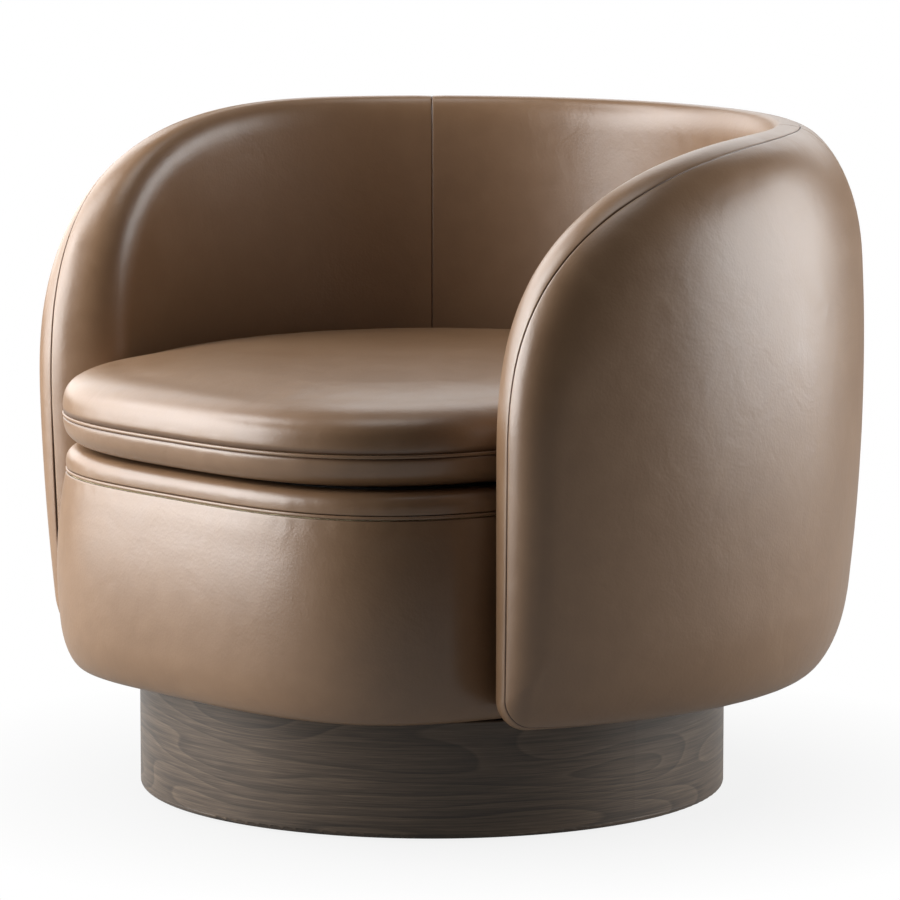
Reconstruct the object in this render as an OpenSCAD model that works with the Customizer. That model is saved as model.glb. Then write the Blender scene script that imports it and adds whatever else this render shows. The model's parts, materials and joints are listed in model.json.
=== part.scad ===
// Barrel swivel chair: a round leather wall that wraps a loose seat cushion,
// on a drum that turns over an oak plinth. Millimetres, +Z up, front towards -Y.
// The part's origin is on the floor, midway between the front and the back.

/* [Plinth] */
// Outer diameter of the round plinth
plinth_d = 590; // [560:1:620]
// Height of the top edge of the plinth above the floor
plinth_top = 118; // [105:1:130]
// Wall of the bent plinth ring
plinth_wall = 18; // [12:1:24]
// Thickness of the plywood boards
board_t = 18; // [15:0.5:20]
// Height of the felt glides
glide_h = 3; // [2:0.5:4]
// Number of glides and corner blocks
glide_count = 6; // [4:1:8]
// Shadow gap between the plinth and the upholstery
skirt_gap = 6; // [5:0.5:8]

/* [Swivel] */
// Radius of the ball race
race_r = 125; // [118:1:132]
// Diameter of a bearing ball
ball_d = 8; // [7:0.5:9]
// Number of bearing balls
ball_count = 24; // [16:1:30]
// Thickness of the two steel plates
plate_t = 2.5; // [2:0.1:3]
// Rim of the two steel plates outside the race
plate_rim = 25; // [22:1:30]
// How far the bolts of the lower plate lie inside the race
lower_bolt_in = 30; // [28:1:34]
// How far the bolts of the upper plate lie inside the race
upper_bolt_in = 65; // [60:1:70]
// Radius of the hollow centre pin
pin_r = 10; // [8:0.5:12]
// Running clearance of the pin, on the radius
pin_fit = 0.05; // [0.03:0.01:0.1]
// Diameter of the bolt shanks
bolt_d = 8; // [6:1:8]

/* [Upholstered wall] */
// Height of the wall at the back
wall_h = 546; // [500:1:590]
// Inner radius of the wall
wall_in_r = 333; // [300:1:370]
// Thickness of the padding inside the frame
inner_pad = 27; // [24:1:32]
// Thickness of the padding outside the frame
outer_pad = 48; // [42:1:56]
// Angle of the arm tips, from the back
arm_tip_deg = 122.8; // [119:0.1:125]
// Angle where the crest starts to sweep down
sweep_deg = 60; // [55:1:65]
// Height of the upright part of the arm front
arm_front_h = 245; // [225:1:270]
// Fullness of the sweep
sweep_power = 2.9; // [2.4:0.1:3.4]
// Angle of the upright seams either side of the back
seam_deg = 48; // [44:1:52]
// Depth of the rounded nose at the arm front
nose_front = 47; // [44:1:52]
// Depth of the outer roll below the crest
nose_crest = 133; // [120:1:140]
// Depth of the inner roll below the crest
nose_inner = 35; // [30:1:40]
// Depth of the outer roll above the bottom edge
nose_bottom = 88; // [80:1:95]
// How far the crest line lies inside the middle of the frame
crest_in = 24; // [17:1:27]
// Height of the fullest part of the wall above its foot
bulge_h = 318; // [290:1:345]
// How far the outer face comes in at the crest
crest_tuck = 15; // [12:1:18]
// How far the outer face comes in at the foot
foot_tuck = 24; // [20:1:26]
// Corner radius at the foot of the arm front
arm_foot_r = 30; // [20:1:36]
// Thickness of the leather
leather_t = 2; // [1.5:0.1:2.5]

/* [Wall frame] */
// Overall thickness of the hollow plywood frame in the wall
frame_t = 24; // [22:0.5:25]
// Thickness of its bent plywood skins
skin_t = 5; // [4:0.5:6]
// Distance of the frame below the crest
frame_drop = 72; // [70:1:80]
// Width of the upright posts
post_w = 30; // [24:1:40]

/* [Seat drum] */
// How much narrower the seat front is than the wall inside, on each side
seat_taper = 38; // [34:1:43]
// Reach of the drum in front of the swivel axis
drum_front = 336; // [310:1:360]
// Height of the drum front up to its seam
drum_h = 201; // [185:1:220]
// Height of the band between that seam and the deck
band_h = 23; // [20:1:26]
// Thickness of the deck foam
deck_foam_t = 35.5; // [32:0.5:39]
// Bulge of the drum between its edges
drum_bulge = 10; // [6:1:14]
// Depth of the drum padding in front of its panel
drum_pad = 34; // [30:1:38]

/* [Cushion] */
// How far the cushion stands out beyond the drum
cushion_lap = 15; // [10:1:20]
// Space between the cushion and the wall
cushion_gap = 4; // [3.5:0.5:8]
// Height of the cushion seam above the deck
cushion_low_h = 35; // [30:1:40]
// Height of the crown above the cushion seam
cushion_top_h = 51; // [45:1:58]
// Squareness of the cushion's front corners
cushion_power = 3.15; // [2.8:0.05:3.5]
// Width of the flat strip between the two rows of stitches
strip_w = 4; // [3:0.5:5]

/* [Hidden] */
$fn = 96;
gap = 0.3;
seat_power = 3.5;
leather = [0.63, 0.49, 0.38];
foam = [0.93, 0.88, 0.72];
ply = [0.80, 0.66, 0.46];
oak = [0.36, 0.30, 0.25];
steel = [0.62, 0.63, 0.65];
past = 1;
far = 2 * (wall_in_r + inner_pad + frame_t + outer_pad);

// Radii from the inside of the wall outwards
frame_in_r = wall_in_r + inner_pad;
frame_out_r = frame_in_r + frame_t;
frame_r = (frame_in_r + frame_out_r) / 2;
wall_out_r = frame_out_r + outer_pad;
crest_r = frame_r - crest_in;
foot_tip_r = frame_r;
board_r = foot_tip_r + 1;
cushion_back_r = wall_in_r - cushion_gap;
seat_half_w = wall_in_r - seat_taper;
cushion_front = drum_front + cushion_lap;
axis_y = (cushion_front - wall_out_r) / 2;
panel_t = 6;
open_deg = 103;
clear_deg = 4;

// Radii of the plinth and the swivel
plinth_r = plinth_d / 2;
inner_r = plinth_r - plinth_wall;
plate_r = race_r + plate_rim;
race_w = 14;
race_h = ball_d / 2 - 1;
race_gap = 3;
groove_r = ball_d / 2 + 0.05;
lower_bolt_r = race_r - lower_bolt_in;
upper_bolt_r = race_r - upper_bolt_in;
access_d = 20;
bolt_count = 4;
head_h = 3.2;
t_nut_r = bolt_d / 2 + 1.5;
pin_flange_r = pin_r + 6;

// Levels from the floor up
skirt_z = plinth_top + skirt_gap;
board_clear = 1;
base_z = skirt_z + leather_t + board_clear;
stack_h = 2 * (plate_t + race_h) + race_gap;
plate_low_z = base_z - stack_h;
ball_z = base_z - stack_h / 2;
board_z = plate_low_z - board_t;
frame_low_z = base_z + board_t;
drum_seam_z = skirt_z + drum_h;
deck_z = drum_seam_z + band_h;
cushion_seam_z = deck_z + cushion_low_h;
foot_z = skirt_z + arm_front_h * 0.7;
sweep_low_z = skirt_z + arm_front_h;
bulge_z = skirt_z + bulge_h;
crest_z = skirt_z + wall_h;
frame_top_z = crest_z - frame_drop;
cloth_t = 1.2;
strap_t = 1.5;
deck_ring_z = deck_z - cloth_t - gap - deck_foam_t - 2 * strap_t - board_t;

// Seat outline: a superellipse in front, a circle inside the wall
function plan_r(psi, front, power) = cos(psi) < 0.35 ? cushion_back_r : max(cushion_back_r,
    pow(pow(abs(sin(psi)) / seat_half_w, power) + pow(abs(cos(psi)) / front, power), -1 / power));
function drum_r(psi) = plan_r(psi, drum_front, seat_power);
function seat_pt(psi, r, z) = [r * sin(psi), -r * cos(psi), z];

// Closed solid between two sheets of points with the same faces and the same rim.
// Two neighbours that share a rim split its four-sided cells the same way: one of them crosses
module sheet_solid(outer, inner, faces, rim, cross = false) {
    n = len(outer);
    m = len(rim);
    polyhedron(
        points = concat(outer, inner),
        faces = concat(
            faces,
            [for (f = faces) [for (k = [len(f) - 1:-1:0]) f[k] + n]],
            [for (k = [0:m - 1]) [rim[k], rim[(k + 1) % m], rim[cross ? k : (k + 1) % m] + n]],
            [for (k = [0:m - 1]) [rim[cross ? (k + 1) % m : k], rim[(k + 1) % m] + n, rim[k] + n]]),
        convexity = 8);
}

// Two triangles of a four-sided cell
function cell(a, b, c, d) = [[a, b, c], [a, c, d]];
function flat(list) = [for (l = list) for (v = l) v];

// Grid of columns and points: faces and rim
function grid_faces(nc, np) = flat([for (i = [0:nc - 2]) for (j = [0:np - 2])
    cell(i * np + j, i * np + j + 1, (i + 1) * np + j + 1, (i + 1) * np + j)]);
function grid_rim(nc, np) = concat(
    [for (i = [0:nc - 1]) i * np],
    [for (j = [1:np - 1]) (nc - 1) * np + j],
    [for (i = [nc - 2:-1:0]) i * np + np - 1],
    [for (j = [np - 2:-1:1]) j]);

// The padded wall. A layer is a vector: distance in from the leather's face,
// inner radius, fixed outer radius (0 follows the bulge), crest drop, underside level
front_foam = 30;
frame_roll = 12;
foot_roll = 10;
roll_fade = 52;
function layer(e) = [e, wall_in_r + e, 0, e * 1.1, skirt_z + e];
outside = layer(0);
inside = layer(leather_t);
pad_face = layer(leather_t + 2 * gap);
chord_clear = 2.2;
frame_side = [front_foam, frame_in_r - gap, frame_out_r + chord_clear + gap,
    frame_drop - frame_roll - leather_t, frame_low_z - foot_roll - past];

function body_r(z, l) = l[2] > 0 ? l[2] : wall_out_r - l[0]
    - (z > bulge_z ? crest_tuck * pow((z - bulge_z) / (crest_z - bulge_z), 2)
        : foot_tuck * pow((bulge_z - z) / (bulge_z - skirt_z), 2));
front_r = (wall_in_r + wall_out_r) / 2;

// Depths of the rounded edge for a layer and a side: arm front, crest, bottom
function depths(side, l) = [
    nose_front - l[0],
    l[2] > 0 ? frame_roll : side > 0 ? nose_crest - l[3] : nose_inner * (1 - l[0] / roll_fade),
    side > 0 ? nose_bottom - l[0] : foot_roll];

sweep_steps = 10;
arm_cols = sweep_steps + 1;
function front_deg(f) = arm_tip_deg - f / front_r * 180 / PI;
function col_deg(i, f) = i == 0 ? seam_deg
    : sweep_deg + (front_deg(f) - sweep_deg) * sin(90 * (i - 1) / sweep_steps);
function top_z(i, t) = i < 2 ? crest_z - t
    : sweep_low_z + (crest_z - t - sweep_low_z)
        * pow(1 - pow(sin(90 * (i - 1) / sweep_steps), sweep_power), 1 / sweep_power);
least_r = 5;
function corner_r(f) = max(arm_foot_r - f, least_r);
// Lowest edge of the inner side: above the base board at the back, full depth at the arm front
function low_z(a, side, l) = side > 0 || a > open_deg ? l[4] : frame_low_z + gap + l[0] / 10;

// Points of the edge line, [angle, height], upper chain then lower chain
function upper(i, f, t) = [col_deg(i, f), top_z(i, t)];
function lower(i, f, b, side, l) =
    let (c = corner_r(f), cd = c / front_r * 180 / PI, z0 = l[4] + b)
    i <= 7 ? [col_deg(i, f), low_z(col_deg(i, 0), side, l) + b]
    : i == 8 ? [front_deg(f) - cd, z0]
    : i == 9 ? [front_deg(f) - cd * 0.3, z0 + c * 0.3]
    : i == 10 ? [front_deg(f), z0 + c]
    : [front_deg(f), foot_z];

// How far round towards the arm front
foot_turn_deg = 100;
frame_turn_deg = arm_tip_deg - 2.9;
function front_share(a, from) = pow(max(0, min(1, (a - from) / (arm_tip_deg - from))), 1.2);

// Radius of the edge line
function tip_r(a, z, top, side, l) =
    let (frame_share = l[2] > 0 ? 1 : l[0] / frame_t,
        w = top ? 1 - pow(max(0, min(1, (z - sweep_low_z) / (crest_z - sweep_low_z))), 2.5)
            : front_share(a, l[2] > 0 ? frame_turn_deg : foot_turn_deg),
        back = top ? crest_r : l[2] > 0 && side > 0 ? l[2] : foot_tip_r,
        r = back + ((l[2] > 0 && !top ? frame_r : front_r) - back) * w)
    !top && side < 0 && a < open_deg + (l[2] > 0 ? clear_deg : 0) ? l[1] + (l[2] > 0 ? 0 : past)
        : r + (top ? (frame_r - r) * frame_share : 0);

function skin_pt(a, z, side, l, rt, g) =
    let (r = side > 0 ? rt + (body_r(z, l) - rt) * g : rt - (rt - l[1]) * g)
    [r * sin(a), r * cos(a), z];

// Where the crest seam lies: angle round the edge towards the outside
crest_seam_deg = 13;
front_seam_deg = 26;
function seam_phi(a, top) = top
    ? crest_seam_deg + (front_seam_deg - crest_seam_deg)
        * max(0, (a - sweep_deg) / (arm_tip_deg - sweep_deg))
    : front_seam_deg * front_share(a, foot_turn_deg);
// The outer padding starts this far round the bottom edge, clear of the base board
foam_start = 46;
edge_power = 2.3;
function phi(side, k, steps, s, start) = side > 0 ? max(s + (90 - s) * k / steps, start - steps / 2 + k)
    : s - (s + 90) * k / steps;

// One point of a ring: side of the surface that it lies on follows the sign of its angle
function ring_pt(i, top, side, l, k, steps) =
    let (a0 = col_deg(i, 0),
        p = phi(side, k, steps, seam_phi(a0, top),
            !top && l[0] > leather_t && a0 < open_deg + clear_deg ? foam_start : 0),
        out = p > 0 ? 1 : -1,
        d = depths(out, l),
        x = 1 - pow(cos(p), 2 / edge_power),
        g = pow(abs(sin(p)), 2 / edge_power),
        f = l[0] + d[0] * x,
        e = top ? upper(i, f, l[3] + d[1] * x) : lower(i, f, d[2] * x, side, l))
    skin_pt(e[0], e[1], out, l, tip_r(col_deg(i, 0), top_z(i, 0), top, side, l), g);

// Between the innermost rings
function mix_pt(i, side, l, steps, t) =
    let (d = depths(side, l),
        u = upper(i, l[0] + d[0], l[3] + d[1]),
        w = lower(i, l[0] + d[0], d[2], side, l),
        a = u[0] + (w[0] - u[0]) * t,
        z = u[1] + (w[1] - u[1]) * t)
    skin_pt(a, z, side, l, 0, 1);

// Upright part of the arm front between the two chains
function front_pt(side, l, k, steps, t) =
    let (u = ring_pt(arm_cols, true, side, l, k, steps),
        w = ring_pt(arm_cols, false, side, l, k, steps))
    u + (w - u) * t;

// One arm: rings round the edge, then rows between them
function arm_points(side, l, rings, rows) = concat(
    [for (k = [0:rings]) each concat(
        [for (i = [0:arm_cols]) ring_pt(i, true, side, l, k, rings)],
        [for (j = [1:rows - 1]) front_pt(side, l, k, rings, j / rows)],
        [for (i = [arm_cols:-1:0]) ring_pt(i, false, side, l, k, rings)])],
    [for (i = [0:arm_cols - 1]) for (j = [1:rows - 1]) mix_pt(i, side, l, rings, j / rows)]);
function arm_path(rows) = 2 * arm_cols + rows;
function arm_id(i, j, rings, rows) =
    let (m = arm_path(rows), base = rings * (m + 1))
    j == 0 ? base + i : j == rows ? base + m - i
    : i == arm_cols ? base + arm_cols + j
    : (rings + 1) * (m + 1) + i * (rows - 1) + j - 1;
function arm_faces(rings, rows) =
    let (m = arm_path(rows))
    concat(
        flat([for (k = [0:rings - 1]) for (p = [0:m - 1])
            cell(k * (m + 1) + p, k * (m + 1) + p + 1, (k + 1) * (m + 1) + p + 1, (k + 1) * (m + 1) + p)]),
        flat([for (i = [0:arm_cols - 1]) for (j = [0:rows - 1])
            cell(arm_id(i, j, rings, rows), arm_id(i + 1, j, rings, rows),
                arm_id(i + 1, j + 1, rings, rows), arm_id(i, j + 1, rings, rows))]));
function arm_rim(rings, rows) =
    let (m = arm_path(rows))
    concat(
        [for (p = [m:-1:0]) p],
        [for (k = [1:rings]) k * (m + 1)],
        [for (j = [1:rows - 1]) arm_id(0, j, rings, rows)],
        [for (k = [rings:-1:1]) k * (m + 1) + m]);

module arm_sheet(side, l0, l1, rings, rows) {
    if (side > 0)
        sheet_solid(arm_points(side, l1, rings, rows), arm_points(side, l0, rings, rows),
            arm_faces(rings, rows), arm_rim(rings, rows));
    else
        sheet_solid(arm_points(side, l0, rings, rows), arm_points(side, l1, rings, rows),
            arm_faces(rings, rows), arm_rim(rings, rows), cross = true);
}

// The back: level columns between the two upright seams
back_steps = 10;
function back_deg(i) = -seam_deg + 2 * seam_deg * i / back_steps;
function level_pt(a, z, r) = [r * sin(a), r * cos(a), z];
function back_ring(a, top, side, l, k, steps) =
    let (p = ring_pt(0, top, side, l, k, steps)) level_pt(a, p[2], norm([p[0], p[1]]));
function back_mix(a, side, l, steps, t) =
    let (p = mix_pt(0, side, l, steps, t)) level_pt(a, p[2], norm([p[0], p[1]]));
function back_points(side, l, rings, rows) = [for (i = [0:back_steps]) each concat(
    [for (k = [0:rings]) back_ring(back_deg(i), true, side, l, k, rings)],
    [for (j = [1:rows - 1]) back_mix(back_deg(i), side, l, rings, j / rows)],
    [for (k = [rings:-1:0]) back_ring(back_deg(i), false, side, l, k, rings)])];
module back_sheet(side, l0, l1, rings, rows) {
    np = 2 * rings + rows + 1;
    nc = back_steps + 1;
    if (side > 0)
        sheet_solid(back_points(side, l0, rings, rows), back_points(side, l1, rings, rows),
            grid_faces(nc, np), grid_rim(nc, np));
    else
        sheet_solid(back_points(side, l1, rings, rows), back_points(side, l0, rings, rows),
            grid_faces(nc, np), grid_rim(nc, np), cross = true);
}

// Plinth
module plinth_ring() color(oak) rotate_extrude($fn = 180) {
    translate([inner_r, glide_h]) difference() {
        square([plinth_wall, plinth_top - glide_h]);
        translate([plinth_wall - foot_edge_r, 0]) difference() {
            square(foot_edge_r + past);
            translate([0, foot_edge_r]) circle(foot_edge_r);
        }
        translate([plinth_wall - top_edge_r, plinth_top - glide_h - top_edge_r]) difference() {
            square(top_edge_r + past);
            circle(top_edge_r);
        }
    }
}
foot_edge_r = 4;
top_edge_r = 2;
floor_ring_w = 50;
glide_ring_r = inner_r - floor_ring_w / 2;
glide_screw_d = 3.5;
glide_screw_h = 13;
module plinth_floor_ring() color(ply) difference() {
    translate([0, 0, glide_h]) cylinder(h = board_t, r = inner_r);
    translate([0, 0, glide_h - past]) cylinder(h = board_t + 2 * past, r = inner_r - floor_ring_w);
    around(glide_count) translate([glide_ring_r, 0, glide_h - past])
        cylinder(h = glide_screw_h, d = glide_screw_d);
}
block_t = 32;
block_w = 40;
module around(count, start = 0) for (k = [0:count - 1]) rotate([0, 0, start + k * 360 / count]) children();
module plinth_blocks() color(ply) around(glide_count, 180 / glide_count)
    translate([glide_ring_r - block_t / 2, -block_w / 2, glide_h + board_t])
        cube([block_t, block_w, board_z - glide_h - board_t]);
module drill(z, h) translate([0, 0, z - past]) linear_extrude(h + 2 * past) children();
module access_hole(z, h) rotate([0, 0, 45]) translate([upper_bolt_r, 0, 0]) drill(z, h) circle(d = access_d);
module plinth_top_board() color(ply) difference() {
    translate([0, 0, board_z]) cylinder(h = board_t, r = inner_r);
    drill(board_z, board_t) circle(pin_flange_r + 2);
    around(bolt_count) translate([lower_bolt_r, 0, 0]) drill(board_z, board_t) circle(t_nut_r);
    access_hole(board_z, board_t);
}
glide_d = 32;
head_sink = 0.9;
module glide_at() around(glide_count) translate([glide_ring_r, 0, 0]) children();
module felt_glides() color([0.2, 0.2, 0.2]) glide_at() difference() {
    cylinder(h = glide_h, d = glide_d);
    translate([0, 0, head_sink - gap]) cylinder(h = glide_h, d = glide_screw_d * 2 + 2);
}
module glide_screws() color(steel) glide_at() {
    translate([0, 0, head_sink])
        cylinder(h = glide_h - head_sink, d1 = glide_screw_d * 2 + 1, d2 = glide_screw_d);
    translate([0, 0, glide_h]) cylinder(h = glide_screw_h - past, d = glide_screw_d);
}

// Swivel bearing
module race_profile(plate_z, race_z) difference() {
    union() {
        translate([pin_r + pin_fit, plate_z]) square([plate_r - pin_r - pin_fit, plate_t]);
        translate([race_r - race_w / 2, race_z]) square([race_w, race_h]);
    }
    translate([race_r, ball_z]) circle(groove_r, $fn = 48);
}
bolt_hole_d = bolt_d + 0.4;
module swivel_lower_plate() color(steel) difference() {
    rotate_extrude() race_profile(plate_low_z, plate_low_z + plate_t);
    around(bolt_count) translate([lower_bolt_r, 0, 0]) drill(plate_low_z, plate_t) circle(d = bolt_hole_d);
    access_hole(plate_low_z, plate_t);
}
socket_d = 5;
module bolt(z, up) translate([0, 0, z]) mirror([0, 0, up ? 0 : 1]) {
    cylinder(h = board_t + plate_t, d = bolt_d);
    translate([0, 0, -head_h]) difference() {
        cylinder(h = head_h, d = bolt_d * 1.8);
        translate([0, 0, -past]) cylinder(h = head_h, d = socket_d, $fn = 6);
    }
}
t_nut_h = 10;
flange_t = 1.5;
module t_nut(z, up) translate([0, 0, z]) mirror([0, 0, up ? 0 : 1]) difference() {
    union() {
        cylinder(h = flange_t, r = t_nut_r * 2);
        translate([0, 0, -t_nut_h]) cylinder(h = t_nut_h + past / 2, r = t_nut_r);
    }
    drill(-t_nut_h, t_nut_h + flange_t) circle(d = bolt_d);
}
module lower_plate_bolts() color(steel) around(bolt_count)
    translate([lower_bolt_r, 0, 0]) bolt(plate_low_z + plate_t, false);
module lower_t_nuts() color(steel) around(bolt_count)
    translate([lower_bolt_r, 0, 0]) t_nut(board_z, false);
pin_bore_r = pin_r - 3;
pin_above = 6;
clip_z = base_z + 1.5;
clip_t = 1.8;
clip_fit = 0.05;
clip_rim = 4;
module centre_pin() color(steel) rotate_extrude() difference() {
    union() {
        translate([pin_bore_r, plate_low_z - plate_t]) square([pin_flange_r - pin_bore_r, plate_t]);
        translate([pin_bore_r, plate_low_z]) square([pin_r - pin_bore_r, stack_h + pin_above]);
    }
    translate([pin_r - past, clip_z]) square([2 * past, clip_t]);
}
module pin_retaining_ring() color(steel) translate([0, 0, clip_z + clip_fit]) difference() {
    cylinder(h = clip_t - 2 * clip_fit, r = pin_r + clip_rim);
    drill(0, clip_t) circle(pin_r - past + clip_fit);
    drill(0, clip_t) translate([0, -clip_rim / 2]) square([pin_flange_r, clip_rim]);
}
cage_t = race_gap * 0.6;
module ball_cage() color("white") difference() {
    translate([0, 0, ball_z - cage_t / 2]) cylinder(h = cage_t, r = race_r + race_w / 2 - past);
    drill(ball_z - cage_t / 2, cage_t) circle(race_r - race_w / 2 + past);
    around(ball_count) translate([race_r, 0, 0]) drill(ball_z - cage_t / 2, cage_t) circle(d = ball_d + 0.2);
}
module bearing_balls() color(steel) around(ball_count)
    translate([race_r, 0, ball_z]) sphere(d = ball_d, $fn = 32);
module swivel_upper_plate() color(steel) difference() {
    rotate_extrude() race_profile(base_z - plate_t, base_z - plate_t - race_h);
    around(bolt_count, 45) translate([upper_bolt_r, 0, 0])
        drill(base_z - plate_t, plate_t) circle(d = bolt_hole_d);
}
module upper_plate_bolts() color(steel) around(bolt_count, 45)
    translate([upper_bolt_r, 0, 0]) bolt(base_z - plate_t, true);
module upper_t_nuts() color(steel) around(bolt_count, 45)
    translate([upper_bolt_r, 0, 0]) t_nut(base_z + board_t, true);

// Seat frame
drum_deg = 65;
drum_cols = 22;
back_cols = 40;
function drum_psi(i) = -drum_deg + 2 * drum_deg * i / drum_cols;
function drum_pt(psi, inset) = let (r = drum_r(psi) - inset) [r * sin(psi), -r * cos(psi)];
module seat_plan(inset) polygon(concat(
    [for (i = [0:drum_cols]) drum_pt(drum_psi(i), inset)],
    [for (k = [1:back_cols - 1]) drum_pt(drum_deg + k * (360 - 2 * drum_deg) / back_cols, inset)]));
board_edge_deg = open_deg - 4.5;
module board_plan(wall_inset, seat_inset) union() {
    seat_plan(seat_inset);
    intersection() {
        circle(r = board_r - wall_inset, $fn = 180);
        translate([-far / 2, wall_inset + board_r * cos(board_edge_deg)]) square(far);
    }
}
module seat_base_board() color(ply) difference() {
    translate([0, 0, base_z]) linear_extrude(board_t) board_plan(0, drum_pad);
    drill(base_z, board_t) circle(pin_flange_r * 2);
    around(bolt_count, 45) translate([upper_bolt_r, 0, 0]) drill(base_z, board_t) circle(t_nut_r);
    at_screws() drill(base_z, board_t) circle(d = screw_d);
}
rib_count = 6;
rib_h = deck_ring_z - frame_low_z;
rib_clear = 30;
rib_in = upper_bolt_r + rib_clear;
rib_out = cushion_back_r - drum_pad - panel_t - gap;
rib_turn = 30;
rib_hole_d = min(rib_h, (rib_out - rib_in) * 0.72) / 2;
module seat_ribs() color(ply) around(rib_count, rib_turn) difference() {
    translate([rib_in, -board_t / 2, frame_low_z]) cube([rib_out - rib_in, board_t, rib_h]);
    for (x = [0.3, 0.7]) translate([rib_in + (rib_out - rib_in) * x, board_t, frame_low_z + rib_h / 2])
        rotate([90, 0, 0]) cylinder(h = board_t * 2, d = rib_hole_d, $fn = 48);
}
module drum_front_panel() color(ply) translate([0, 0, frame_low_z]) linear_extrude(rib_h) polygon(concat(
    [for (i = [1:drum_cols - 1]) drum_pt(drum_psi(i), drum_pad)],
    [for (i = [drum_cols - 1:-1:1]) drum_pt(drum_psi(i), drum_pad + panel_t)]));
deck_rim = 60;
deck_hole_r = cushion_back_r - drum_pad - deck_rim;
module deck_ring() color(ply) translate([0, 0, deck_ring_z]) linear_extrude(board_t) difference() {
    seat_plan(drum_pad);
    circle(r = deck_hole_r, $fn = 120);
}
strap_w = 50;
strap_pitch = 75;
strap_lap = 28;
webbing_z = deck_ring_z + board_t;
function strap_half(x) = sqrt(pow(deck_hole_r + strap_lap, 2) - pow(abs(x) + strap_w / 2, 2));
module seat_webbing() color([0.75, 0.72, 0.62]) for (k = [-2:2]) let (x = k * strap_pitch) {
    translate([x - strap_w / 2, -strap_half(x), webbing_z]) cube([strap_w, 2 * strap_half(x), strap_t]);
    translate([-strap_half(x), x - strap_w / 2, webbing_z + strap_t])
        cube([2 * strap_half(x), strap_w, strap_t]);
}
band_w = drum_pad;
module deck_foam() color(foam) translate([0, 0, webbing_z + 2 * strap_t]) linear_extrude(deck_foam_t)
    seat_plan(band_w + 4);
module deck_cloth() color([0.25, 0.22, 0.2]) translate([0, 0, deck_z - cloth_t]) linear_extrude(cloth_t)
    seat_plan(band_w);
cover_in = 45;
dust_t = 1;
module dust_cover() color([0.12, 0.12, 0.12]) translate([0, 0, base_z - dust_t]) linear_extrude(dust_t)
    difference() {
        board_plan(cover_in, cover_in);
        circle(r = plate_r + 4, $fn = 120);
    }

// Drum upholstery: a profile [inset from the seat outline, height] swept round the front
drum_mid = (skirt_z + drum_seam_z) / 2;
drum_half = (drum_seam_z - skirt_z) / 2;
drum_lap = 38;
drum_round = 17;
taper_deg = 14;
function drum_edge(z) = drum_bulge * (1 - pow((z - drum_mid) / drum_half, 2));
function taper(psi) = min(1, max(0, (drum_deg - abs(psi)) / taper_deg));
function drum_line(e, psi) = let (b = taper(psi)) [
    for (p = [
        [-drum_lap, skirt_z + e], [-drum_lap / 2, skirt_z + e],
        [-drum_round * 0.4, skirt_z + drum_round * 0.3 + e * 0.6], [0, skirt_z + drum_round],
        for (z = [drum_mid - drum_half / 2, drum_mid, drum_mid + drum_half * 0.6]) [drum_edge(z), z],
        [0, drum_seam_z - strip_w / 2]])
        [min(p[0], p[0] * b) - (p[1] > skirt_z + 1 + e ? e : 0), p[1]]];
function sweep_points(cols, line) = [for (i = [0:cols]) each
    [for (p = line[i]) seat_pt(drum_psi(i), drum_r(drum_psi(i)) + p[0], p[1])]];
module drum_sheet(l_out, l_in) {
    np = len(l_out[0]);
    sheet_solid(sweep_points(drum_cols, l_in), sweep_points(drum_cols, l_out),
        grid_faces(drum_cols + 1, np), grid_rim(drum_cols + 1, np));
}
module drum_cover() color(leather) drum_sheet(
    [for (i = [0:drum_cols]) drum_line(0, drum_psi(i))],
    [for (i = [0:drum_cols]) drum_line(leather_t, drum_psi(i))]);
function pad_line(e, psi) = let (l = drum_line(e, psi)) [for (k = [2:len(l) - 1]) l[k]];
function pad_back(psi) = let (l = pad_line(0, psi)) [for (p = l) [-drum_pad + gap, max(p[1], base_z)]];
module drum_foam() color(foam) drum_sheet(
    [for (i = [0:drum_cols]) pad_line(leather_t + gap, drum_psi(i))],
    [for (i = [0:drum_cols]) pad_back(drum_psi(i))]);
module drum_seam_strip() color(leather) drum_sheet(
    [for (i = [0:drum_cols]) strip_line(strip_proud)],
    [for (i = [0:drum_cols]) strip_line(-leather_t)]);
strip_proud = 0.8;
strip_half = strip_w / 2 - 0.1;
function strip_line(x) = [[x, drum_seam_z - strip_half], [x, drum_seam_z + strip_half]];
band_round = 11;
function band_line(e) = [
    [-e, drum_seam_z + strip_w / 2], [-band_round / 4 - e, drum_seam_z + band_h * 0.4],
    [-band_round - e, deck_z - (band_round + e) / 2],
    [-band_w + gap, deck_z - e]];
module drum_top_band() color(leather) drum_sheet(
    [for (i = [0:drum_cols]) band_line(0)],
    [for (i = [0:drum_cols]) band_line(leather_t)]);

// Wall frame
module arc_band(r0, r1, z, h, deg) rotate([0, 0, 90 - deg]) translate([0, 0, z])
    rotate_extrude(angle = 2 * deg, $fn = 180) translate([r0, 0]) square([r1 - r0, h]);
front_back_deg = 9.5;
frame_tip_deg = arm_tip_deg - front_back_deg;
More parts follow.
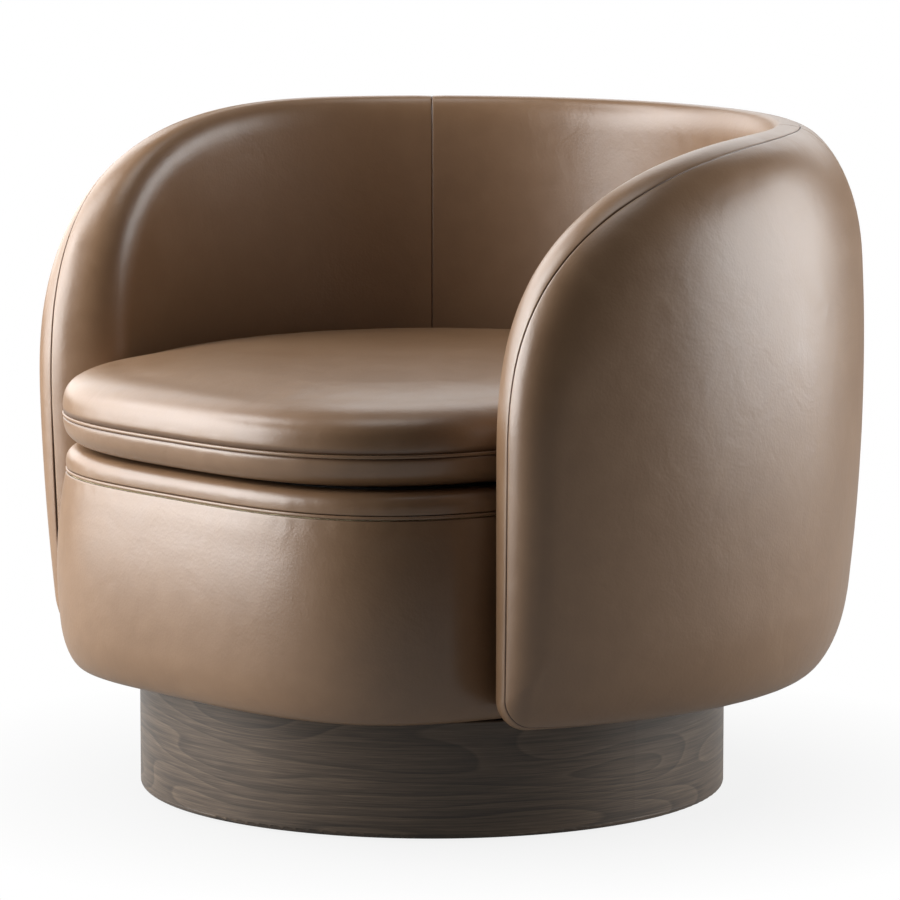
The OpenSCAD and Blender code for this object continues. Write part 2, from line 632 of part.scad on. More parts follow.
// Side view of the frame, set back from the arm front: under the level crest, then down the sweep
function frame_line(r) = concat(
    [[r + outer_pad, frame_low_z - past], [r + outer_pad, frame_top_z]],
    [for (k = [0:10]) let (s = sin(9 * k), a = sweep_deg + (frame_tip_deg - sweep_deg) * s)
        [r * cos(a), sweep_low_z + (frame_top_z - sweep_low_z)
            * pow(1 - pow(s, sweep_power), 1 / sweep_power)]],
    [[frame_r * cos(frame_tip_deg), frame_low_z - past]]);
module frame_cut() intersection() {
    union() children();
    rotate([90, 0, 90]) linear_extrude(far, center = true) polygon(frame_line(frame_r));
}
rail_deg = open_deg - 7;
rail_h = 20;
module wall_bottom_rail() color(ply) difference() {
    arc_band(frame_in_r + skin_t, frame_out_r - skin_t, frame_low_z, rail_h, rail_deg);
    at_screws() drill(frame_low_z, screw_grip) circle(d = screw_d);
}
module wall_top_rail() color(ply)
    arc_band(frame_in_r + skin_t, frame_out_r - skin_t, frame_top_z - rail_h, rail_h, sweep_deg);
post_clear = 0.8;
post_degs = [-108, -78, -48, -16, 16, 48, 78, 108];
module wall_posts() color(ply) frame_cut() for (a = post_degs) rotate([0, 0, 90 - a])
    translate([frame_in_r + skin_t + post_clear, -post_w / 2, frame_low_z + rail_h])
        cube([frame_t - 2 * (skin_t + post_clear), post_w,
            frame_top_z - frame_low_z - rail_h - (abs(a) < sweep_deg ? rail_h : 0)]);
module wall_inner_skin() color(ply) frame_cut()
    arc_band(frame_in_r, frame_in_r + skin_t, frame_low_z, frame_top_z - frame_low_z, frame_tip_deg);
module wall_outer_skin() color(ply) frame_cut()
    arc_band(frame_out_r - skin_t, frame_out_r, frame_low_z, frame_top_z - frame_low_z, frame_tip_deg);
screw_d = 4;
screw_grip = 14;
screw_degs = [-90, -60, -30, 0, 30, 60, 90];
module at_screws() for (a = screw_degs) rotate([0, 0, 90 - a])
    translate([frame_r - screw_d, 0, 0]) children();
module wall_screws() color(steel) at_screws() translate([0, 0, base_z])
    cylinder(h = board_t + screw_grip, d = screw_d);

// Wall upholstery
module back_inner_foam() color(foam) back_sheet(-1, pad_face, frame_side, 5, 3);
module arm_inner_foam_right() color(foam) arm_sheet(-1, pad_face, frame_side, 5, 3);
module arm_inner_foam_left() mirror([1, 0, 0]) arm_inner_foam_right();
module back_outer_foam() color(foam) back_sheet(1, pad_face, frame_side, 4, 3);
module arm_outer_foam_right() color(foam) arm_sheet(1, pad_face, frame_side, 4, 3);
module arm_outer_foam_left() mirror([1, 0, 0]) arm_outer_foam_right();
module back_inner_cover() color(leather) back_sheet(-1, outside, inside, 5, 3);
module arm_inner_cover_right() color(leather) arm_sheet(-1, outside, inside, 5, 3);
module arm_inner_cover_left() mirror([1, 0, 0]) arm_inner_cover_right();
module back_outer_cover() color(leather) back_sheet(1, outside, inside, 4, 3);
module side_outer_cover_right() color(leather) arm_sheet(1, outside, inside, 4, 3);
module side_outer_cover_left() mirror([1, 0, 0]) side_outer_cover_right();

// Cushion: rings round the whole outline, closed by a flat middle
cushion_n = 40;
front_n = 26;
function cush_psi(i) = i < front_n ? -90 + 180 * i / front_n
    : 90 + 180 * (i - front_n) / (cushion_n - front_n);
function cush_ring(rho, inset, z) = [for (i = [0:cushion_n - 1])
    seat_pt(cush_psi(i), (plan_r(cush_psi(i), cushion_front, cushion_power) - inset) * rho, z)];
edge_share = 0.85;
function crown(rho) = (cushion_top_h - strip_w / 2)
    * (edge_share * pow(1 - pow(rho, 5), 0.2) + (1 - edge_share) * (1 - rho * rho));
low_drop = cushion_low_h - strip_w / 2 - gap;
flat_rho = 0.8;
function belly(rho) = low_drop * pow((1 - pow(rho, 8)) / (1 - pow(flat_rho, 8)), 1 / 3);
module ring_stack(rings) {
    n = cushion_n;
    m = len(rings);
    polyhedron(
        points = flat(rings),
        faces = concat(
            [[for (i = [0:n - 1]) i]],
            [[for (i = [n - 1:-1:0]) (m - 1) * n + i]],
            flat([for (k = [0:m - 2]) for (i = [0:n - 1])
                cell(k * n + i, (k + 1) * n + i, (k + 1) * n + (i + 1) % n, k * n + (i + 1) % n)])),
        convexity = 8);
}
rhos = [1, 0.985, 0.94, 0.85, 0.65];
strip_gap = strip_w / 2;
function top_rings(e) = [for (r = rhos)
    cush_ring(r, e * pow(r, 6), cushion_seam_z + strip_gap + crown(r) - e * (1 - pow(r, 8)))];
module cushion_top_cover() color(leather) ring_stack(concat(
    [for (k = [len(rhos) - 1:-1:0]) top_rings(leather_t)[k]], top_rings(0)));
function low_rings(e) = [for (r = [1, 0.97, 0.9, flat_rho])
    cush_ring(r, e * pow(r, 6), cushion_seam_z - strip_gap - belly(r) + e * (1 - pow(r, 8)))];
module cushion_bottom_cover() color(leather) ring_stack(concat(
    [for (k = [3:-1:0]) low_rings(0)[k]], low_rings(leather_t)));
module cushion_core() color(foam) ring_stack(concat(
    [for (k = [3:-1:0]) low_rings(leather_t + gap)[k]],
    top_rings(leather_t + gap)));
module ring_loop(rings) {
    n = cushion_n;
    m = len(rings);
    polyhedron(
        points = flat(rings),
        faces = flat([for (k = [0:m - 1]) for (i = [0:n - 1])
            cell(k * n + i, (k + 1) % m * n + i, (k + 1) % m * n + (i + 1) % n, k * n + (i + 1) % n)]),
        convexity = 4);
}
module cushion_seam_strip() color(leather) ring_loop([
    cush_ring(1, leather_t, cushion_seam_z - strip_half),
    cush_ring(1, -strip_proud, cushion_seam_z - strip_half),
    cush_ring(1, -strip_proud, cushion_seam_z + strip_half),
    cush_ring(1, leather_t, cushion_seam_z + strip_half)]);

module at_axis() translate([0, axis_y, 0]) children();

at_axis() plinth_ring();
at_axis() plinth_floor_ring();
at_axis() plinth_blocks();
at_axis() plinth_top_board();
at_axis() felt_glides();
at_axis() glide_screws();
at_axis() swivel_lower_plate();
at_axis() lower_plate_bolts();
at_axis() lower_t_nuts();
at_axis() centre_pin();
at_axis() pin_retaining_ring();
at_axis() ball_cage();
at_axis() bearing_balls();
at_axis() swivel_upper_plate();
at_axis() upper_plate_bolts();
at_axis() upper_t_nuts();
at_axis() seat_base_board();
at_axis() seat_ribs();
at_axis() drum_front_panel();
at_axis() deck_ring();
at_axis() seat_webbing();
at_axis() deck_foam();
at_axis() deck_cloth();
at_axis() drum_foam();
at_axis() drum_cover();
at_axis() drum_seam_strip();
at_axis() drum_top_band();
at_axis() dust_cover();
at_axis() wall_bottom_rail();
at_axis() wall_posts();
at_axis() wall_top_rail();
at_axis() wall_inner_skin();
at_axis() wall_outer_skin();
at_axis() wall_screws();
at_axis() back_inner_foam();
at_axis() arm_inner_foam_right();
at_axis() arm_inner_foam_left();
at_axis() back_outer_foam();
at_axis() arm_outer_foam_right();
at_axis() arm_outer_foam_left();
at_axis() back_inner_cover();
at_axis() arm_inner_cover_right();
at_axis() arm_inner_cover_left();
at_axis() back_outer_cover();
at_axis() side_outer_cover_right();
at_axis() side_outer_cover_left();
at_axis() cushion_core();
at_axis() cushion_top_cover();
at_axis() cushion_bottom_cover();
at_axis() cushion_seam_strip();
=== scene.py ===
import json
import math

import bpy
import numpy as np
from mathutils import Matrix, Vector, noise
from mathutils.kdtree import KDTree


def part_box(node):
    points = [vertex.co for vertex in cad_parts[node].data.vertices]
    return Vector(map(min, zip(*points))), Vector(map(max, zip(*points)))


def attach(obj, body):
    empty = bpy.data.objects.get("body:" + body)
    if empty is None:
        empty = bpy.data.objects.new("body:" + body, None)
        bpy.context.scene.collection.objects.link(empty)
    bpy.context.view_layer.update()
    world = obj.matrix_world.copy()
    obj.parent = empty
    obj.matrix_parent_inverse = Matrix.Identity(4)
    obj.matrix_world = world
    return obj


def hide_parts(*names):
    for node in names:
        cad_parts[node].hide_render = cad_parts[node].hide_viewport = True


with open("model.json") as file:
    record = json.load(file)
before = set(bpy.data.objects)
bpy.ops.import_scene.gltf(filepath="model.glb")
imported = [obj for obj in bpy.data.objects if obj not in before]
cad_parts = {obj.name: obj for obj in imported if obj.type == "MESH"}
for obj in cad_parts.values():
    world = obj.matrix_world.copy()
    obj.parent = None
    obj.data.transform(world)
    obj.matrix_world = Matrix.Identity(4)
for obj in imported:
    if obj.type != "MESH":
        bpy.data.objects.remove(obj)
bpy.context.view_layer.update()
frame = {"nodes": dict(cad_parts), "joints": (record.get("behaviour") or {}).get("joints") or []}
nodes = frame["nodes"]


# Round plinth: an 18 mm ring of bent plywood with smoked oak veneer on the outside,
# eased at its top and bottom edges and finished with a matt lacquer. The sheet is
# wrapped once round with its grain lying level, so its joint falls at the back.
def colour(text):
    """Linear RGBA of an sRGB hex colour."""
    parts = [int(text[i : i + 2], 16) / 255 for i in (1, 3, 5)]
    return [c / 12.92 if c <= 0.04045 else ((c + 0.055) / 1.055) ** 2.4 for c in parts] + [1]


def new_material(name, **values):
    """A material, its nodes, its main shader with fixed values by socket name, and the place on
    the object that its patterns follow."""
    made = bpy.data.materials.new(name)
    made.use_nodes = True
    shader = made.node_tree.nodes["Principled BSDF"]
    for socket, value in values.items():
        shader.inputs[socket.replace("_", " ")].default_value = value
    place = add(made.node_tree, "TexCoord").outputs["Object"]
    return made, made.node_tree, shader, place


def add(tree, kind, settings=(), links=(), stops=(), **values):
    """A node with its settings, its input values, the sockets that feed it, and for a colour
    ramp its stops: places along a grey value, each with a hex colour or a grey."""
    made = tree.nodes.new("ShaderNode" + kind)
    for name, value in dict(settings).items():
        setattr(made, name, value)
    for name, value in values.items():
        made.inputs[name.replace("_", " ")].default_value = value
    for socket, source in links:
        tree.links.new(source, made.inputs[socket])
    while stops and len(made.color_ramp.elements) < len(stops):
        made.color_ramp.elements.new(0.5)
    for i, (level, shade) in enumerate(stops):
        made.color_ramp.elements[i].position = level
        made.color_ramp.elements[i].color = colour(shade) if isinstance(shade, str) else [shade] * 3 + [1]
    return made


def feed(tree, shader, **sources):
    """Sockets of the main shader, each fed by another node's socket."""
    for socket, source in sources.items():
        tree.links.new(source, shader.inputs[socket.replace("_", " ")])


def from_frame(size):
    """A size read from the frame, to a tenth of a millimetre."""
    return round(float(size), 4)


# the swivel's axis, and the plinth's radius
AXIS_Y = next(joint for joint in frame["joints"] if joint["name"] == "swivel")["pos_m"][1]
PLINTH_R = from_frame(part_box("plinth_ring")[1].x)

# Lacquered oak veneer: satin sheen, grey-brown, with long level fibres and cathedral figures
oak, tree, shader, place = new_material("smoked_oak_veneer", Roughness=0.45, IOR=1.5,
                                        Specular_IOR_Level=0.35, Coat_Weight=0.4, Coat_Roughness=0.2)
shifted = add(tree, "Mapping", links=[("Vector", place)], Location=(0, -AXIS_Y, 0)).outputs["Vector"]
axes = add(tree, "SeparateXYZ", links=[(0, shifted)])
forward = add(tree, "Math", {"operation": "MULTIPLY"}, [(0, axes.outputs["Y"])])
forward.inputs[1].default_value = -1
turn = add(tree, "Math", {"operation": "ARCTAN2"}, [(0, axes.outputs["X"]), (1, forward.outputs[0])])
along = add(tree, "Math", {"operation": "MULTIPLY"}, [(0, turn.outputs[0])])
along.inputs[1].default_value = PLINTH_R
sheet_at = add(tree, "CombineXYZ", links=[("X", along.outputs[0]), ("Y", axes.outputs["Z"])]).outputs[0]
# cathedral figures: growth rings 25 mm apart on their own, bent to 5 mm and more, and drawn
# out along the grain
RINGS_PER_M, BENT_RINGS = 40, 13
slow = add(tree, "Mapping", links=[("Vector", sheet_at)], Scale=(2.4, 13, 1)).outputs[0]
figure = add(tree, "TexNoise", links=[("Vector", slow)], Scale=1.0, Detail=1.0, Roughness=0.4,
             Distortion=0.1)
bend = add(tree, "Math", {"operation": "MULTIPLY"}, [(0, figure.outputs["Fac"])])
bend.inputs[1].default_value = BENT_RINGS
ring_number = add(tree, "Math", {"operation": "MULTIPLY_ADD"},
                  [(0, axes.outputs["Z"]), (2, bend.outputs[0])])
ring_number.inputs[1].default_value = RINGS_PER_M
ring_share = add(tree, "Math", {"operation": "FRACT"}, [(0, ring_number.outputs[0])])
ring_tone = add(tree, "ValToRGB", links=[(0, ring_share.outputs[0])],
                stops=[(0, 0.38), (0.25, 0.49), (0.75, 0.56), (0.92, 0.64), (1, 0.38)])
# fibres and pores: 1 mm across and 45 mm long, with broader streaks of 4 mm
fine = add(tree, "Mapping", links=[("Vector", sheet_at)], Scale=(22, 1100, 1)).outputs[0]
fibre = add(tree, "TexNoise", links=[("Vector", fine)], Scale=1.0, Detail=3.0, Roughness=0.6)
coarse = add(tree, "Mapping", links=[("Vector", sheet_at)], Scale=(5, 260, 1)).outputs[0]
streak = add(tree, "TexNoise", links=[("Vector", coarse)], Scale=1.0, Detail=4.0, Roughness=0.6)
grain = add(tree, "Mix", {"data_type": "FLOAT"},
            [(2, ring_tone.outputs[0]), (3, streak.outputs["Fac"])], Factor=0.44)
veneer = add(tree, "Mix", {"data_type": "FLOAT"},
             [(2, grain.outputs[0]), (3, fibre.outputs["Fac"])], Factor=0.3)
tone = add(tree, "ValToRGB", links=[(0, veneer.outputs[0])],
           stops=[(0.37, "#2D251E"), (0.47, "#493D32"), (0.53, "#594B3E"), (0.62, "#6F5F4F")])
relief = add(tree, "Bump", links=[("Height", veneer.outputs[0])], Strength=0.25, Distance=0.0006)
feed(tree, shader, Base_Color=tone.outputs[0], Normal=relief.outputs[0])


def finish_nodes(material, *names):
    """These CAD nodes take one material all over."""
    for name in names:
        slots = nodes[name].data.materials
        if not len(slots):
            slots.append(material)
        for i in range(len(slots)):
            slots[i] = material


finish_nodes(oak, "plinth_ring")


# Frame boards: raw birch plywood, sawn and sanded. Their edges show plies 1.5 mm thick,
# pale and brown in turn; the faces have a faint long figure.
plywood, tree, shader, place = new_material("raw_birch_plywood", Roughness=0.7, IOR=1.5)
figure = add(tree, "Mapping", links=[("Vector", place)], Scale=(9, 60, 60)).outputs[0]
sanded = add(tree, "TexNoise", links=[("Vector", figure)], Scale=1.0, Detail=4.0, Roughness=0.55)
plies = add(tree, "TexWave", {"wave_type": "BANDS", "bands_direction": "Z"}, [("Vector", place)],
            Scale=105.0, Distortion=0.6, Detail=1.0)
both = add(tree, "Mix", {"data_type": "FLOAT"}, [(2, sanded.outputs["Fac"]), (3, plies.outputs["Fac"])],
           Factor=0.4)
tone = add(tree, "ValToRGB", links=[(0, both.outputs[0])],
           stops=[(0.25, "#A07B4E"), (0.5, "#C7A574"), (0.75, "#D9BD90")])
relief = add(tree, "Bump", links=[("Height", both.outputs[0])], Strength=0.2, Distance=0.0004)
feed(tree, shader, Base_Color=tone.outputs[0], Normal=relief.outputs[0])
finish_nodes(plywood, "plinth_floor_ring", "plinth_blocks", "plinth_top_board", "seat_base_board",
             "seat_ribs", "drum_front_panel", "deck_ring", "wall_bottom_rail", "wall_posts",
             "wall_top_rail", "wall_inner_skin", "wall_outer_skin")


# Glides: discs punched from pressed wool felt, each held up under the plinth by one screw.
# Felt is charcoal, dull and fuzzy; its hairs are drawn 1 mm apart, so that they show.
felt, tree, shader, place = new_material("pressed_wool_felt", Roughness=0.95, Sheen_Weight=0.4,
                                         Sheen_Roughness=0.5)
hairs = add(tree, "TexNoise", links=[("Vector", place)], Scale=900.0, Detail=3.0, Roughness=0.7)
tone = add(tree, "ValToRGB", links=[(0, hairs.outputs["Fac"])], stops=[(0.3, "#26262A"), (0.7, "#4A4A4E")])
relief = add(tree, "Bump", links=[("Height", hairs.outputs["Fac"])], Strength=0.6, Distance=0.0005)
feed(tree, shader, Base_Color=tone.outputs[0], Normal=relief.outputs[0])
finish_nodes(felt, "felt_glides")


# Swivel plates, pin, bolts, nuts and screws: pressed and turned steel, zinc plated. The bath
# leaves a cloudy bluish-grey spangle, in flecks of 6 mm.
zinc, tree, shader, place = new_material("zinc_plated_steel", Metallic=1.0)
spangle = add(tree, "TexVoronoi", links=[("Vector", place)], Scale=160.0)
cloud = add(tree, "TexNoise", links=[("Vector", place)], Scale=45.0, Detail=3.0)
both = add(tree, "Mix", {"data_type": "FLOAT"},
           [(2, spangle.outputs["Distance"]), (3, cloud.outputs["Fac"])], Factor=0.6)
tone = add(tree, "ValToRGB", links=[(0, both.outputs[0])], stops=[(0.3, "#8E9196"), (0.7, "#B9BBBE")])
gloss = add(tree, "ValToRGB", links=[(0, both.outputs[0])], stops=[(0.3, 0.3), (0.7, 0.46)])
feed(tree, shader, Base_Color=tone.outputs[0], Roughness=gloss.outputs[0])
finish_nodes(zinc, "swivel_lower_plate", "swivel_upper_plate", "centre_pin", "pin_retaining_ring",
             "lower_plate_bolts", "upper_plate_bolts", "lower_t_nuts", "upper_t_nuts",
             "glide_screws", "wall_screws")


# Bearing balls: ground and polished chrome steel, held by the cage between the two plates.
# They are bright, with a film of grease that dulls them in patches.
ball_steel, tree, shader, place = new_material("polished_bearing_steel", Metallic=1.0)
film = add(tree, "TexNoise", links=[("Vector", place)], Scale=220.0, Detail=2.0)
gloss = add(tree, "ValToRGB", links=[(0, film.outputs["Fac"])], stops=[(0.35, 0.08), (0.65, 0.22)])
tone = add(tree, "ValToRGB", links=[(0, film.outputs["Fac"])], stops=[(0.35, "#C9CACC"), (0.65, "#B2B1AC")])
feed(tree, shader, Base_Color=tone.outputs[0], Roughness=gloss.outputs[0])
finish_nodes(ball_steel, "bearing_balls")


# Ball cage: a moulded ring of natural nylon that lies loose between the plates.
# It is milky, with faint flow marks, and slightly see-through at its edges.
nylon, tree, shader, place = new_material("natural_nylon", Roughness=0.45, IOR=1.53, Subsurface_Weight=0.1)
flow = add(tree, "TexNoise", links=[("Vector", place)], Scale=70.0, Detail=2.0)
tone = add(tree, "ValToRGB", links=[(0, flow.outputs["Fac"])], stops=[(0.3, "#DAD7CC"), (0.7, "#EAE8E0")])
feed(tree, shader, Base_Color=tone.outputs[0])
finish_nodes(nylon, "ball_cage")


# Webbing: woven elastic straps 50 mm wide, stretched over the hole in the deck ring and
# stapled. They are matt and jute-coloured, with a rib every 5 mm.
webbing, tree, shader, place = new_material("woven_elastic_webbing", Roughness=0.9)
warp = add(tree, "TexWave", {"bands_direction": "X"}, [("Vector", place)], Scale=63.0, Distortion=0.3)
weft = add(tree, "TexWave", {"bands_direction": "Y"}, [("Vector", place)], Scale=63.0, Distortion=0.3)
both = add(tree, "Mix", {"data_type": "FLOAT"}, [(2, warp.outputs["Fac"]), (3, weft.outputs["Fac"])],
           Factor=0.5)
tone = add(tree, "ValToRGB", links=[(0, both.outputs[0])], stops=[(0.2, "#8C7B58"), (0.8, "#C2B28A")])
relief = add(tree, "Bump", links=[("Height", both.outputs[0])], Strength=0.6, Distance=0.0006)
feed(tree, shader, Base_Color=tone.outputs[0], Normal=relief.outputs[0])
finish_nodes(webbing, "seat_webbing")


# Padding: cut blocks and sheets of polyurethane foam, glued on under every leather piece and
# the deck cloth. It is cream and dull; its open cells are drawn 2 mm wide, so that they show.
foam, tree, shader, place = new_material("cut_polyurethane_foam", Roughness=1.0, Subsurface_Weight=0.05)
bubbles = add(tree, "TexVoronoi", links=[("Vector", place)], Scale=520.0)
yellowing = add(tree, "TexNoise", links=[("Vector", place)], Scale=7.0, Detail=3.0)
both = add(tree, "Mix", {"data_type": "FLOAT"},
           [(2, bubbles.outputs["Distance"]), (3, yellowing.outputs["Fac"])], Factor=0.5)
tone = add(tree, "ValToRGB", links=[(0, both.outputs[0])], stops=[(0.2, "#CFC08E"), (0.6, "#E6DBB2")])
relief = add(tree, "Bump", links=[("Height", bubbles.outputs["Distance"])], Strength=0.7, Distance=0.0008)
feed(tree, shader, Base_Color=tone.outputs[0], Normal=relief.outputs[0])
finish_nodes(foam, "deck_foam", "drum_foam", "cushion_core", "back_inner_foam", "arm_inner_foam_right",
             "arm_inner_foam_left", "back_outer_foam", "arm_outer_foam_right", "arm_outer_foam_left")


# Deck and underside: black-brown lining cloth. The deck cloth is tacked over the deck foam
# under the loose cushion; the dust cover is stapled under the base board. It takes in light,
# and its threads are drawn 1.5 mm apart, so that they show.
lining, tree, shader, place = new_material("bonded_lining_cloth", Roughness=0.95, Sheen_Weight=0.06)
threads = add(tree, "TexNoise", links=[("Vector", place)], Scale=650.0, Detail=2.0)
tone = add(tree, "ValToRGB", links=[(0, threads.outputs["Fac"])],
           stops=[(0.3, "#1D1916"), (0.7, "#38302A")])
relief = add(tree, "Bump", links=[("Height", threads.outputs["Fac"])], Strength=0.4, Distance=0.0004)
feed(tree, shader, Base_Color=tone.outputs[0], Normal=relief.outputs[0])
finish_nodes(lining, "deck_cloth", "dust_cover")


# Leather of every cover: drum-dyed aniline cowhide in tan taupe, 1.5 mm thick, with a smooth
# waxed face. The wax gives a broad soft shine over faint mottling and low wrinkles 20 to 60 mm
# long; the pores are drawn 2.4 mm apart, so that they show.
leather, tree, shader, place = new_material("waxed_aniline_leather", IOR=1.5, Specular_IOR_Level=0.8)
mottle = add(tree, "TexNoise", links=[("Vector", place)], Scale=9.0, Detail=5.0, Roughness=0.55,
             Distortion=0.6)
blotch = add(tree, "TexNoise", links=[("Vector", place)], Scale=46.0, Detail=3.0, Roughness=0.5)
both = add(tree, "Mix", {"data_type": "FLOAT"}, [(2, mottle.outputs["Fac"]), (3, blotch.outputs["Fac"])],
           Factor=0.5)
tone = add(tree, "ValToRGB", links=[(0, both.outputs[0])],
           stops=[(0.25, "#7E6147"), (0.5, "#84664B"), (0.75, "#8A6C50")])
# painted shade: the colour darkens into the seams, by how deep each point lies in its crease
seam = add(tree, "Attribute", {"attribute_name": "seam"})
seam_painted_shade = add(tree, "Mix", {"data_type": "RGBA", "blend_type": "MULTIPLY"},
           [(0, seam.outputs["Fac"]), (6, tone.outputs[0])])
# the darkest painted shade, at the bottom of a crease
seam_painted_shade.inputs[7].default_value = colour("#8A7262")
gloss = add(tree, "ValToRGB", links=[(0, both.outputs[0])], stops=[(0.3, 0.33), (0.7, 0.4)])
pores = add(tree, "TexVoronoi", {"feature": "SMOOTH_F1"}, [("Vector", place)], Scale=420.0)
wrinkle = add(tree, "TexNoise", links=[("Vector", place)], Scale=20.0, Detail=3.0, Roughness=0.5,
              Distortion=0.8)
low = add(tree, "Bump", links=[("Height", wrinkle.outputs["Fac"])], Strength=0.19, Distance=0.003)
top = add(tree, "Bump", links=[("Height", pores.outputs["Distance"]), ("Normal", low.outputs[0])],
          Strength=0.12, Distance=0.0006)
feed(tree, shader, Base_Color=seam_painted_shade.outputs[2], Roughness=gloss.outputs[0], Normal=top.outputs[0])


# Upholstered wall: six leather panels drawn tight over foam on the bent plywood frame, three
# inside and three outside. They meet in one fine seam that runs level round the crest, sweeps
# down and drops along the arm fronts, and in upright seams 48 degrees either side of the back.
SKIRT_Z = from_frame(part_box("back_outer_cover")[0].z)
CREST_Z, BULGE_Z, SWEEP_LOW_Z = 0.670, 0.442, 0.369
WALL_OUT_R, WALL_IN_R, CREST_R, FOOT_R, FRONT_R = 0.432, 0.333, 0.348, 0.372, 0.3825
SEAM_DEG, SWEEP_DEG, TIP_DEG, TURN_DEG = 48.0, 60.0, 122.8, 100.0
# how far the padding rolls in from the seam: at the arm front, outside and inside the crest,
# outside and inside the foot
NOSE_FRONT, NOSE_CREST, NOSE_INNER, NOSE_BOTTOM, ROLL_IN = 0.047, 0.133, 0.035, 0.088, 0.010
ARCH_POWER, EDGE_POWER, ARM_FOOT_R = 2.9, 2.3, 0.030
# how far the outer face draws in above and below its bulge
LEAN_ABOVE, LEAN_BELOW = 0.015, 0.024
# the seam lies this many degrees round the padded edge: on the crest, and at the arm front
SEAM_TURN, FRONT_TURN = 13, 26
# the inner panels end higher behind the drum, and step down past it between these angles
INNER_LOW_Z, STEP_DEGS = 0.1455, (96.9, 104.4)
# columns of an arm panel are numbered from its upright seam: 0 to 1 up to the sweep, then to 11
# at the arm front, of which 8 to 11 turn the corner of the foot
SWEEP_COLUMN_DEG, FOOT_COLUMN, COLUMNS = 9, 8, 11.0


def share(value, start, end):
    """How far a value has gone from start to end, held to 0 to 1."""
    return np.clip((value - start) / (end - start), 0, 1)


def ease(value, start, end):
    """The same share, leaving and arriving softly."""
    part = share(value, start, end)
    return part * part * (3 - 2 * part)


def front_deg(inset):
    """Angle of the arm front, drawn in by an inset."""
    return TIP_DEG - np.degrees(inset / FRONT_R)


def sweep_angle(u):
    """How far round the sweep a column lies, in radians: 0 at its start, a quarter at its end."""
    return np.radians(SWEEP_COLUMN_DEG * np.maximum(u - 1, 0))


def column_deg(u, inset):
    """Angle round the chair, from the back, of a column."""
    swept = SWEEP_DEG + (front_deg(inset) - SWEEP_DEG) * np.sin(sweep_angle(u))
    return np.where(u < 1, SEAM_DEG + (SWEEP_DEG - SEAM_DEG) * u, swept)


def crest_line(u, inset, drop):
    """Angle and height of the crest line, drawn in by an inset and a drop."""
    bow = (1 - np.sin(sweep_angle(u)) ** ARCH_POWER).clip(0) ** (1 / ARCH_POWER)
    return column_deg(u, inset), SWEEP_LOW_Z + (CREST_Z - drop - SWEEP_LOW_Z) * bow


def foot_line(u, inset, rise, side):
    """Angle and height of the bottom line, up to the end of the corner at the arm front."""
    low = SKIRT_Z + rise
    if side < 0:
        low = low + (INNER_LOW_Z - SKIRT_Z) * (1 - share(column_deg(u, 0), *STEP_DEGS))
    corner = np.maximum(ARM_FOOT_R - inset, 0.005)
    wide = np.degrees(corner / FRONT_R)
    bend = np.radians(90 * share(u, FOOT_COLUMN, COLUMNS))
    level = column_deg(np.minimum(u, FOOT_COLUMN - 1), inset)
    deg = level + (front_deg(inset) - wide - level) * share(u, FOOT_COLUMN - 1, FOOT_COLUMN)
    deg = np.where(u > FOOT_COLUMN, front_deg(inset) - wide * (1 - np.sin(bend)), deg)
    return deg, low + corner * (1 - np.cos(bend))


def edge_radius(deg, z, top, side):
    """Radius of the seam, or of the bottom line, which lies further in at the inner face."""
    if top:
        level = share(z, SWEEP_LOW_Z, CREST_Z) ** 2.5
        return FRONT_R + (CREST_R - FRONT_R) * level
    forward = share(deg, TURN_DEG, TIP_DEG) ** 1.2
    radius = FOOT_R + (FRONT_R - FOOT_R) * forward
    inside = 1 - share(deg, *STEP_DEGS) if side < 0 else 0
    return radius + (WALL_IN_R + 0.001 - radius) * inside


def body_radius(z):
    """Radius of the outer face: fullest at BULGE_Z, drawn in above and below."""
    above = LEAN_ABOVE * ((z - BULGE_Z) / (CREST_Z - BULGE_Z)) ** 2
    below = LEAN_BELOW * ((BULGE_Z - z) / (BULGE_Z - SKIRT_Z)) ** 2
    return WALL_OUT_R - np.where(z > BULGE_Z, above, below)


def at_angle(deg, radius, z):
    """Points at angles round the swivel axis, counted from the back."""
    turned = np.radians(deg)
    return np.stack([radius * np.sin(turned), radius * np.cos(turned) + AXIS_Y, z + 0 * turned], -1)


def seam_turn(deg, top):
    """Where the seam lies round the padded edge, in degrees; along the foot it starts level."""
    if top:
        return SEAM_TURN + (FRONT_TURN - SEAM_TURN) * share(deg, SWEEP_DEG, TIP_DEG)
    return FRONT_TURN * share(deg, TURN_DEG, TIP_DEG) ** 1.2


def edge_points(u, t, top, side):
    """Points round the padded edge: t is 0 at the seam and 1 where the flat of the wall starts."""
    seam_deg = column_deg(u, 0)
    start = seam_turn(seam_deg, top)
    around = start + (90 - start) * t if side > 0 else start - (start + 90) * t
    outer = around > 0
    inward = 1 - np.cos(np.radians(around)).clip(0) ** (2 / EDGE_POWER)
    aside = np.abs(np.sin(np.radians(around))) ** (2 / EDGE_POWER)
    if top:
        deg, z = crest_line(u, NOSE_FRONT * inward, np.where(outer, NOSE_CREST, NOSE_INNER) * inward)
        tip = edge_radius(seam_deg, crest_line(u, 0.0, 0.0)[1], True, side)
    else:
        deg, z = foot_line(u, NOSE_FRONT * inward, np.where(outer, NOSE_BOTTOM, ROLL_IN) * inward, side)
        tip = edge_radius(seam_deg, None, False, side)
    radius = np.where(outer, tip + (body_radius(z) - tip) * aside, tip - (tip - WALL_IN_R) * aside)
    return at_angle(deg, radius, z)


